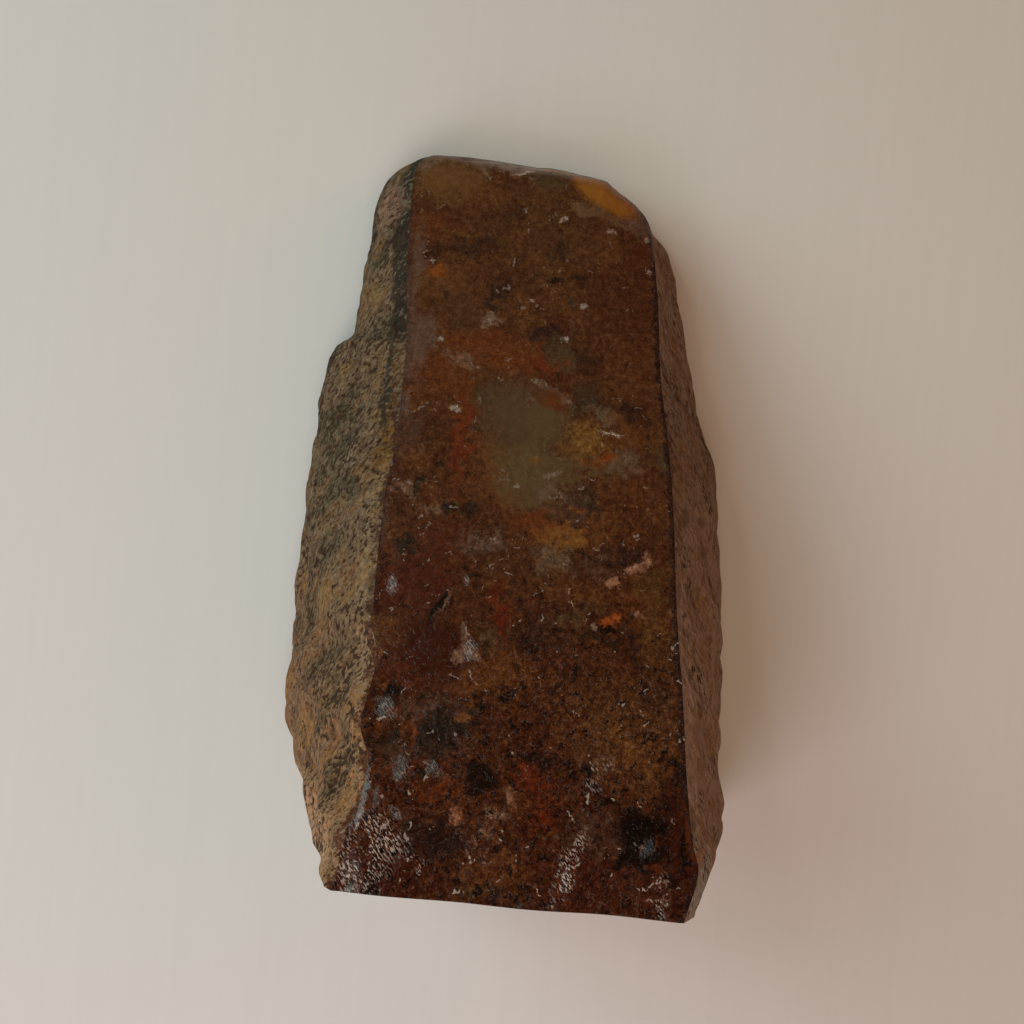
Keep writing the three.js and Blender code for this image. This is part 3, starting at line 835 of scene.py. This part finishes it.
    ((7.4, -50.2), (2.6, 2.0), 0, 0.62, 0.9, 0.3, RED_RUST),
    ((-6.6, -51.5), (0.8, 1.1), 0, 0.4, 0.95, 0.3, PEACH),
    ((0.0, -50.8), (2.0, 0.6), 0, 0.4, 0.85, 0, PALE_GREY),
    ((-1.4, -53.1), (1.4, 1.1), 0, 0.67, 0.8, 0, CRUST),
    ((1.9, -48.2), (0.8, 1.5), 30, 0.45, 0.85, 0, CRUST),
    ((-12.7, -54.6), (1.7, 1.1), 0, 0.62, 0.9, 0.2, GREEN_BLACK),
    ((-8.1, -55.7), (4.2, 2.4), 0, 0.62, 0.95, 0.4, PURPLE_BLACK),
    ((9.6, -50.7), (2.1, 1.4), 0, 0.62, 0.75, 0.2, OLIVE_BLACK),
    ((1.2, -58.5), (5.4, 2.1), 0, 0.72, 0.6, 0.2, AMBER_BROWN),
    ((1.5, -61.0), (2.1, 1.2), 0, 0.62, 0.85, 0.2, GREEN_BLACK),
    ((-3.0, -61.2), (2.4, 0.7), 0, 0.4, 0.8, 0.2, GREY_OLIVE),
    ((14.6, -52.8), (4.2, 2.3), 0, 0.62, 0.85, 0.3, PURPLE_GREY),
    ((14.7, -59.1), (7.7, 3.6), 0, 0.72, 0.8, 0.2, DARK_RED),
    ((-14.8, -59.3), (5.0, 3.9), 0, 0.72, 0.75, 0, DARK_RED),
    ((-16.9, -61.7), (1.3, 1.0), 0, 0.4, 0.9, 0.5, JET),
    ((22.7, -52.2), (4.4, 4.2), 0, 0.4, 1, 0.8, JET),
    ((25.9, -47.8), (1.8, 1.2), 0, 0.4, 0.95, 0.6, JET),
    ((19.6, -55.6), (1.9, 1.2), 0, 0.4, 0.95, 0.6, JET),
    ((26.9, -56.9), (1.2, 1.6), 0, 0.4, 0.95, 0.6, JET),
    ((24.3, -56.0), (1.3, 0.6), -15, 0.4, 0.8, 0.3, RUST),
    ((28.8, -52.5), (3.0, 8.7), 15, 0.67, 0.95, 0.6, WINE),
    ((28.7, -53.2), (0.6, 3.3), 0, 0.4, 0.9, 0.6, JET),
    ((27.7, -42.4), (1.1, 2.2), 0, 0.4, 0.95, 0.6, JET),
    ((17.4, -47.5), (1.4, 0.9), 0, 0.4, 0.9, 0.4, JET),
    # Small pale flecks
    ((2.8, 50.3), (0.9, 0.2), 45, 0.6, 0.68, 0, WHITE),
    ((11.9, 48.7), (0.8, 0.4), 0, 0.6, 0.54, 0, WHITE),
    ((18.6, 48.2), (0.6, 0.6), 0, 0.6, 0.61, 0, WHITE),
    ((19.3, 41.7), (0.5, 0.3), 0, 0.6, 0.61, 0, WHITE),
    ((-1.7, 33.0), (0.5, 0.2), -15, 0.6, 0.61, 0, WHITE),
    ((7.5, 33.4), (0.7, 0.4), 30, 0.6, 0.65, 0, WHITE),
    ((4.6, 26.5), (0.6, 0.4), 0, 0.6, 0.61, 0, WHITE),
    ((-17.3, 24.3), (0.6, 0.3), -30, 0.6, 0.61, 0, WHITE),
    ((-13.4, 11.8), (0.7, 0.4), -30, 0.6, 0.68, 0, WHITE),
    ((-20.9, 39.4), (0.2, 0.4), 0, 0.6, 0.58, 0, WHITE),
    ((-1.5, -0.7), (0.4, 0.3), 0, 0.6, 0.5, 0, WHITE),
    ((12.9, -22.5), (0.5, 0.4), 30, 0.6, 0.58, 0, WHITE),
)

# Places where the polish tilts towards a light: small chips beside the left ridge and in the red
# pool, and soft swells at the base. Rows with no slope are only a painted highlight. How soft
# their borders are, then for each its centre, half width and half length in millimetres, turn in
# degrees, slope up to the right, and how strong the painted highlight on its fine scratches is
GLINT_SOFTNESS = 0.7
GLINTS = (
    ((-20.2, -18.5), (1.1, 1.1), 0, 0.44, 0.40),
    ((-8.2, -16.7), (0.5, 0.7), 0, 0.44, 0.40),
    ((-6.6, -27.4), (1.3, 1.4), 0, 0.25, 0.40),
    ((-18.8, -37.2), (1.7, 1.4), -15, 0.44, 0.25),
    ((-15.4, -45.6), (1.4, 1.5), 0, 0.42, 0.25),
    ((-10.5, -45.1), (1.2, 0.9), 0, 0.42, 0.25),
    ((-18.5, -49.9), (0.6, 1.4), 0, 0.44, 0.20),
    ((-15.3, -51.8), (0.9, 0.8), 0, 0.44, 0.30),
    ((-19.6, -58.9), (3.6, 5.1), -15, 0.00, 0.75),
    ((-20.6, -60.3), (1.6, 1.9), 0, 0.15, 0.80),
    ((-16.7, -55.0), (3.9, 1.9), -30, 0.00, 0.70),
    ((11.1, -57.4), (1.3, 4.0), -15, 0.00, 0.85),
    ((11.0, -58.7), (0.7, 1.9), -15, 0.36, 0.70),
    ((12.8, -53.9), (0.9, 1.8), -15, 0.00, 0.60),
    ((25.4, -60.2), (0.9, 2.7), 0, 0.00, 0.75),
    ((-10.7, -58.9), (0.6, 1.2), -30, 0.00, 0.70),
    ((23.1, -53.4), (0.8, 1.4), -30, 0.30, 0.30),
    ((15.9, -42.4), (1.8, 0.9), 30, 0.00, 0.40),
    ((13.8, -45.9), (1.5, 1.1), 0, 0.00, 0.35),
)


# How far the ripples bend the jasper, in millimetres from one side to the other, and how strong
# its grain is
BEND = 7.0
GRAIN_STRENGTH = 9.0


def jasper(hand, place, dimensions):
    """The jasper's own pattern: the place bent by slow ripples, the ripples themselves, a fine
    grain of about one to each side of nought, and a colour that wanders from maroon to rust."""
    ripple = hand.noise(place, 0.30, 3.0, 0.58, dimensions, output=1)
    ripple = hand.vector("SUBTRACT", ripple, (0.5, 0.5, 0.5))
    bent = hand.vector("ADD", place, ripple.scaled(BEND))
    grain = hand.noise(place, 0.85, 4.0, 0.9, dimensions) * GRAIN_STRENGTH
    wide = hand.noise(bent, 0.17, 4.0, 0.62, dimensions)
    colour = hand.blend(wide.between(-0.12, 0.0), MAROON, BROWN)
    colour = hand.blend(wide.between(0.0, 0.14), colour, WARM_BROWN)
    return bent, ripple, grain, colour


# Tints of the whole face at its two ends, and the colour of the pepper on it
TIP_TINT = (1.0, 0.98, 0.95)
BASE_TINT = (0.84, 0.78, 0.82)
TIP_GLOW = (1.12, 1.12, 1.06)
BASE_SHADE = (0.86, 0.60, 0.43)
PEPPER = (0.004, 0.002, 0.0015)

# How far the ripples bend small marks and the crumble frays all borders, in millimetres from one
# side to the other, and the furthest that a marking strays from its place
BEND_OF_SMALL = 2.0
CRUMBLE = 1.5
STRAY = 5.5

# The polish: its roughness, smoother near the base, and how its fine scratches run
FACE_ROUGHNESS = 0.24
SMOOTHER_AT_BASE = 0.07
SCRATCH_TURN = 48
SCRATCH_STRETCH = (0.5, 1.6, 1)


def reaches(centre, radii, softness, low_end, high_end):
    """Whether a patch may touch a stretch of the face: its centre lies no further from it than
    STRAY and its own half length with its border."""
    reach = STRAY + max(radii) * (1 + softness)
    return low_end - reach < centre[1] < high_end + reach


# The face has three materials, each with only the markings that reach its stretch. The pattern
# itself runs on from one stretch to the next
turns = sorted({marking[2] for marking in MARKINGS})
polished_materials = []
for low_end, high_end in zip(FACE_STRETCHES[:-1], FACE_STRETCHES[1:]):
    face_material, hand, place = new_material("polished_jasper")
    bent, ripple, grain, colour = jasper(hand, place, "2D")
    towards_base = place.axis(1).between(25, -55)
    near_base = place.axis(1).between(-18, -50)
    clouds_of_colour = hand.noise(bent, 0.33, 3.0, 0.7, "2D")
    colour = hand.blend(clouds_of_colour.between(0.03, 0.16) * 0.6, colour, OLIVE)
    lilac_share = clouds_of_colour.between(-0.07, -0.18) * (0.25 + 0.35 * towards_base)
    colour = hand.blend(lilac_share, colour, PURPLE_BROWN)
    colour = colour.stretched(hand.blend(towards_base, TIP_TINT, BASE_TINT))

    # Markings, on places that are bent and frayed; small or very calm ones are bent less
    crumble = hand.noise(place, 2.0, 2.0, 0.7, "2D", output=1)
    crumble = hand.vector("SUBTRACT", crumble, (0.5, 0.5, 0.5)).scaled(CRUMBLE)
    crumbled = hand.vector("ADD", bent, crumble)
    turned_bent = {turn: crumbled.turned(-turn) for turn in turns}
    crumbled = hand.vector("ADD", hand.vector("ADD", place, ripple.scaled(BEND_OF_SMALL)), crumble)
    turned_less = {turn: crumbled.turned(-turn) for turn in turns}
    calm = hand.add("ShaderNodeValue", {}, {})
    for centre, radii, turn, softness, strength, calmness, tone in MARKINGS:
        if not reaches(centre, radii, softness, low_end, high_end):
            continue
        turned = turned_less if min(radii) < 0.9 or calmness > 0.85 else turned_bent
        mask = patch(turned[turn], centre, radii, turn, softness, strength)
        colour = hand.blend(mask, colour, tone)
        if min(radii) > 0.7:
            calm = hand.blend_value(mask, calm, calmness)
    colour = colour.stretched(hand.blend(towards_base, TIP_GLOW, BASE_SHADE))

    # A dark seam at the right ridge, then the speckle: grains, pepper, dust and pale crumbs
    gap = hand.add("ShaderNodeAttribute", {"attribute_name": "ridge_gap"}, {}, 2)
    right_side = 0.3 + 0.7 * place.axis(0).between(0, 5)
    seam = (gap + clouds_of_colour * 3).between(1.3, 0.3) * right_side
    colour = hand.blend(seam * 0.9, colour, SEAM)
    restless = 1 - 0.85 * calm
    colour = hand.speckled(colour, grain, (0.40 + 0.30 * towards_base) * restless)
    pepper = hand.noise(place, 0.62, 4.0, 0.82, "2D") + clouds_of_colour * 0.5
    pepper = (pepper + 0.05 * towards_base).between(0.09, 0.19) * restless
    colour = hand.blend(pepper * (0.45 + 0.50 * towards_base), colour, PEPPER)
    dusting = hand.noise(bent, 1.9, 2.0, 0.6, "2D").between(0.13, 0.2)
    colour = hand.blend(dusting * restless * (0.2 + 0.25 * towards_base), colour, CRUST)
    flat = {"voronoi_dimensions": "2D"}
    crumb = hand.add("ShaderNodeTexVoronoi", flat, {"Vector": bent, "Scale": 0.55})
    crumb_size = crumb.other(1).axis(0).between(0.72, 1.0) * 0.2
    crumbs = (crumb_size - crumb).between(0.0, 0.06) * restless
    colour = hand.blend(crumbs * (0.35 + 0.5 * towards_base), colour, WHITE)

    # The polish: slow waves, nicks at the base and the ridges, fine scratches, and the glints, with
    # a painted highlight on the scratches within them
    nicks = hand.noise(place, 1.25, 2.0, 0.6, "2D").between(0.11, 0.18)
    scratched = place.turned(SCRATCH_TURN).stretched(SCRATCH_STRETCH)
    scratches = hand.noise(scratched, 2.4, 2.0, 0.6, "2D")
    # Painted highlight: pale strokes on the fine scratches, laid into the colour at the glints
    painted_highlight_strokes = scratches.between(0.02, 0.10) * clouds_of_colour.between(-0.12, 0.03)
    waves = hand.noise(place, 0.3, 2.0, 0.5, "2D")
    worn_edge = gap.between(1.6, 0.2)
    height = scratches * (0.008 + 0.05 * worn_edge) + waves * (0.1 + 0.25 * near_base)
    height = height + nicks * (0.01 + 0.10 * near_base + 0.20 * worn_edge)
    for centre, radii, turn, slope, highlight_strength in GLINTS:
        if not reaches(centre, radii, GLINT_SOFTNESS, low_end, high_end):
            continue
        if slope > 0:
            mask = patch(place.turned(-turn), centre, radii, turn, GLINT_SOFTNESS, 1.0)
            height = mask * ((place.axis(0) - centre[0]) * slope + scratches * 0.25) + height
        # The glint's painted highlight on its scratches
        if highlight_strength > 0:
            mask = patch(turned_less[turn], centre, radii, turn, GLINT_SOFTNESS, highlight_strength)
            colour = hand.blend(mask * painted_highlight_strokes, colour, PAINTED_HIGHLIGHT)
    roughness = FACE_ROUGHNESS - SMOOTHER_AT_BASE * near_base + grain * 0.012
    finish_material(hand, colour, roughness, height, {"IOR": 1.5})
    polished_materials.append(face_material)


# ---------------------------------------------------------------------------------------------
# The natural skin of the sides, the tip and the back: a matt crust of taupe, grey-green and
# ochre, in bands along the stone, with dark pits where grains have weathered out.
# ---------------------------------------------------------------------------------------------

TAUPE = (0.150, 0.085, 0.044)
PINK_TAUPE = (0.215, 0.122, 0.075)
GREY_GREEN = (0.085, 0.060, 0.031)
SKIN_OCHRE = (0.215, 0.102, 0.028)
GOLDEN = (0.150, 0.062, 0.012)
RUST_BROWN = (0.170, 0.076, 0.030)
PALE_TAUPE = (0.200, 0.122, 0.068)
PIT_BROWN = (0.030, 0.013, 0.006)
CREASE_BLACK = (0.018, 0.015, 0.009)
BEVEL_RUST = (0.085, 0.034, 0.012)
GRAIN_PALE = (0.360, 0.260, 0.170)
BEVEL_GREY = (0.300, 0.250, 0.190)
CORNER_ORANGE = (0.400, 0.205, 0.100)
RUST_PIT = (0.105, 0.045, 0.018)
# The grey-pink of the painted fill light beside the right ridge
PAINTED_FILL_GREY_PINK = (0.290, 0.190, 0.130)
ROSE = (0.250, 0.115, 0.075)

# Tints of the two sides, and of the lower left
RIGHT_TINT = (1.12, 1.40, 1.62)
LEFT_TINT = (1.22, 1.28, 1.32)
LOWER_LEFT_TINT = (1.28, 1.10, 0.98)

# The bedding draws these patterns out, the bands and fibres the most; the ragged one is even
skin_material, hand, place = new_material("natural_skin")
tilted = hand.add("ShaderNodeMapping", {}, {"Vector": place, "Rotation": LAYER_TURN})
layered = tilted.stretched((0.3, 0.3, 1))
band = hand.noise(layered, 0.16, 3.0, 0.55)
tint = hand.noise(tilted.stretched((0.45, 0.45, 1)), 0.22, 4.0, 0.62)
fibre = hand.noise(layered, 1.1, 3.0, 0.7)
grit = hand.noise(tilted.stretched((0.5, 0.5, 1)), 2.0, 2.0, 0.75)
rag = hand.noise(place, 0.45, 3.0, 0.65)
gap = hand.add("ShaderNodeAttribute", {"attribute_name": "ridge_gap"}, {}, 2)
pit = hand.add("ShaderNodeAttribute", {"attribute_name": "pit"}, {}, 2)
across = place.axis(0)
along = place.axis(1)
left = across.between(0, -1)

# Clouds of colour in the skin
colour = hand.blend(left, PINK_TAUPE, TAUPE)
colour = hand.blend(band.between(0.02, -0.10) * (0.25 + 0.65 * left), colour, GREY_GREEN)
colour = hand.blend(tint.between(0.01, 0.10) * 0.8, colour, RUST_BROWN)
colour = hand.blend(band.between(0.05, 0.14) * (0.15 + 0.6 * left), colour, SKIN_OCHRE)
colour = hand.blend(tint.between(-0.05, -0.14) * 0.7, colour, PALE_TAUPE)

# Beside the left ridge: a black crease near the tip, then rust, gold and a pale strip; the
# jasper's own maroon shows where the edge is frayed
ragged_gap = gap + rag * 14
rust_band = ragged_gap.between(5.5, 3.6) * left * along.between(5, 10) * along.between(31, 25)
golden_band = ragged_gap.between(6.5, 4.2) * left * along.between(-4, 0) * along.between(11, 7)
crease = (gap + rag * 9).between(5.6, 3.8) * left * along.between(20, 26)
crease = crease * (0.8 + 0.2 * rag.between(-0.05, 0.03))
low_crease = (gap + rag * 7).between(3.0, 3.7) * (gap + rag * 7).between(5.6, 4.8)
low_crease = low_crease * left * along.between(5, 9) * along.between(26, 20)
strip = ragged_gap.between(6.5, 3.0) * left * along.between(2, -4)
colour = hand.blend(rust_band * 0.8, colour, BEVEL_RUST)
colour = hand.blend(golden_band * 0.95, colour, GOLDEN)
colour = hand.blend(crease * 0.97, colour, CREASE_BLACK)
colour = hand.blend(low_crease * 0.8, colour, CREASE_BLACK)
colour = hand.blend(strip * 0.8, colour, PALE_TAUPE)
colour = hand.blend(strip * tint.between(-0.02, 0.06) * 0.65, colour, SKIN_OCHRE)
frayed = (gap + rag * 13).between(1.9, 1.0) * along.between(16, 8)
colour = hand.blend(frayed * 0.9, colour, MAROON)

# Painted light: the lower right side is painted a third brighter, and paler grey-pink beside its
# ridge, as a fill light from the lower right would show it. The left is a little darker from the
# middle up, warmer at the lower left, and there is an orange corner at the base
painted_fill_share = (1 - left) * along.between(10, -35)
painted_fill_paleness = painted_fill_share * ragged_gap.between(6, 2) * 0.6
colour = hand.blend(painted_fill_paleness, colour, PAINTED_FILL_GREY_PINK)
colour = colour.scaled(1 - 0.12 * left * along.between(-8, 12) + 0.30 * painted_fill_share)
warmth = hand.blend(left * along.between(-15, -45), (1, 1, 1), LOWER_LEFT_TINT)
colour = colour.stretched(warmth)
corner = along.between(-52, -58) * left * (gap + rag * 20).between(3, 7)
colour = hand.blend(corner * 0.85, colour, CORNER_ORANGE)
rosy_spot = patch(place, (-30.4, 50.8), (2.6, 4.0), 0, 0.7, 0.6)
colour = hand.blend(rosy_spot, colour, ROSE)
chipped_corner = patch(place.turned(20), (31.8, -58.4), (1.5, 4.4), -20, 0.35, 0.85)
colour = hand.blend(chipped_corner, colour, BEVEL_GREY)
orange_spot = patch(place, (31.3, -54.2), (1.1, 0.8), 0, 0.5, 0.8)
colour = hand.blend(orange_spot, colour, CORNER_ORANGE)
colour = colour.stretched(hand.blend(left, RIGHT_TINT, LEFT_TINT))

# Speckle, pale grains and dark pits
colour = hand.speckled(colour, fibre * 3 + grit * 6, 0.38)
speck = hand.noise(tilted.stretched((0.36, 0.36, 1)), 2.0, 2.0, 0.55)
speck = speck + band * 0.35 + tint * 0.45 + 0.05 * (1 - left) + ragged_gap.between(5, 1) * 0.05
colour = hand.blend(speck.between(0.09, 0.15) * 0.3, colour, GRAIN_PALE)
colour = hand.blend(speck.between(-0.05, -0.10) * 0.8, colour, RUST_PIT)
colour = hand.blend(speck.between(-0.10, -0.13) * 0.7, colour, PIT_BROWN)
colour = hand.blend(pit.between(0.1, 0.8) * 0.4, colour, PIT_BROWN)
height = fibre * 0.35 + grit * 0.6 - speck.between(-0.07, -0.12) * 0.4
roughness = 0.72 + grit * 0.4
finish_material(hand, colour, roughness, height, {"IOR": 1.45, "Specular IOR Level": 0.12})


# ---------------------------------------------------------------------------------------------
# The sawn base: the same jasper, cut by a diamond blade and only rubbed down, so it is duller
# than the face and keeps the blade's faint parallel lines.
# ---------------------------------------------------------------------------------------------

sawn_material, hand, place = new_material("sawn_jasper")
_, _, grain, colour = jasper(hand, place, "3D")
agate = hand.noise(place.stretched((0.6, 1, 1.5)), 0.08, 5.0, 0.5)
colour = hand.blend(agate.between(0.03, 0.10) * 0.8, colour, BLUE_GREY)
colour = hand.blend(agate.between(-0.12, -0.19) * 0.8, colour, WINE)
colour = hand.speckled(colour.scaled(1.5), grain, 0.5)
saw_lines = hand.noise(place.stretched((0.05, 1, 4)), 0.9, 4.0, 0.6)
height = saw_lines * 0.12 + grain * 0.005
roughness = 0.5 + saw_lines * 0.3
finish_material(hand, colour, roughness, height, {"IOR": 1.54})

for material in (*polished_materials, skin_material, sawn_material):
    stone_mesh.materials.append(material)


# ---------------------------------------------------------------------------------------------
# The surface below, the light and the camera. A sheet of warm white paper; cool light from a
# window on the left, warm light from a lamp on the right, and three more lights between them; the
# camera looks straight down.
# ---------------------------------------------------------------------------------------------

# Half the sheet's width in metres, and the paper's colour in the dim and the bright of its painted
# light bands
FLOOR_HALF = 1.5
PAPER_DARK = (0.765, 0.740, 0.695)
PAPER_LIGHT = (0.805, 0.780, 0.735)

floor_mesh = bpy.data.meshes.new("paper_sheet")
corners = [(-1, -1), (1, -1), (1, 1), (-1, 1)]
corners = [(FLOOR_HALF * x, FLOOR_HALF * y, 0) for x, y in corners]
floor_mesh.from_pydata(corners, [], [(0, 1, 2, 3)])
floor = bpy.data.objects.new("paper", floor_mesh)
bpy.context.scene.collection.objects.link(floor)

paper_material, hand, place = new_material("warm_paper")
tooth = hand.noise(place, 1.5, 3.0, 0.6)
# Painted light: faint stripes of dimmer and brighter light across the paper, as a flickering lamp
# leaves them
lamp_banding = hand.noise(place.stretched((0.35, 0.004, 1)), 1.0, 3.0, 0.7)
colour = hand.blend(lamp_banding + 0.5, PAPER_DARK, PAPER_LIGHT)
finish_material(hand, colour, 0.75 + 0.1 * tooth, tooth * 0.03, {"Specular IOR Level": 0.2})
floor_mesh.materials.append(paper_material)


def soft_light(name, place, size, watts, colour):
    """A square area light at a place, in metres, turned to face the origin: panned about Z until
    the origin is ahead, then tilted up from straight down."""
    data = bpy.data.lights.new(name, "AREA")
    data.shape = "SQUARE"
    data.size = size
    data.energy = watts
    data.color = colour
    light = bpy.data.objects.new(name, data)
    bpy.context.scene.collection.objects.link(light)
    light.location = place
    aim = -np.array(place)
    pan = math.atan2(aim[1], aim[0]) - math.pi / 2
    tilt = math.atan2(math.hypot(aim[0], aim[1]), -aim[2])
    light.rotation_euler = (tilt, 0, pan)


soft_light("window", (-0.539, 0.196, 0.4015), 0.50, 2.33, (0.73, 1.0, 0.985))
soft_light("warm_lamp", (0.60, 0.25, 0.45), 0.50, 0.85, (1.0, 0.20, 0.04))
soft_light("ceiling", (0.10, -0.35, 0.80), 0.50, 1.62, (1.0, 0.905, 0.668))
soft_light("near_lamp", (-0.141, -0.245, 0.283), 0.20, 0.38, (0.98, 0.84, 1.0))
soft_light("far_window", (-0.32, 0.207, 0.635), 0.08, 0.22, (1.0, 0.88, 0.82))

# The faint light of the room itself
ROOM_COLOUR = (1.0, 0.60, 0.42, 1)
ROOM_STRENGTH = 0.06
world = bpy.data.worlds.new("room")
world.use_nodes = True
background = world.node_tree.nodes["Background"]
background.inputs["Color"].default_value = ROOM_COLOUR
background.inputs["Strength"].default_value = ROOM_STRENGTH
bpy.context.scene.world = world
bpy.context.scene.view_settings.view_transform = "Standard"

# The camera's place in metres, its roll in degrees, and its focal length as a share of the
# sensor's width
CAMERA_HEIGHT = 0.21525
CAMERA_X = -0.00196
CAMERA_Y = -0.00498
CAMERA_ROLL = 5.31
SENSOR_WIDTH = 36
FOCAL_SHARE = 1050 / 1024
camera_data = bpy.data.cameras.new("overhead")
camera_data.sensor_width = SENSOR_WIDTH
camera_data.lens = SENSOR_WIDTH * FOCAL_SHARE
camera_data.clip_start = 0.01
camera = bpy.data.objects.new("overhead", camera_data)
bpy.context.scene.collection.objects.link(camera)
camera.location = (CAMERA_X, CAMERA_Y, CAMERA_HEIGHT)
camera.rotation_euler = (0, 0, math.radians(CAMERA_ROLL))
bpy.context.scene.camera = camera
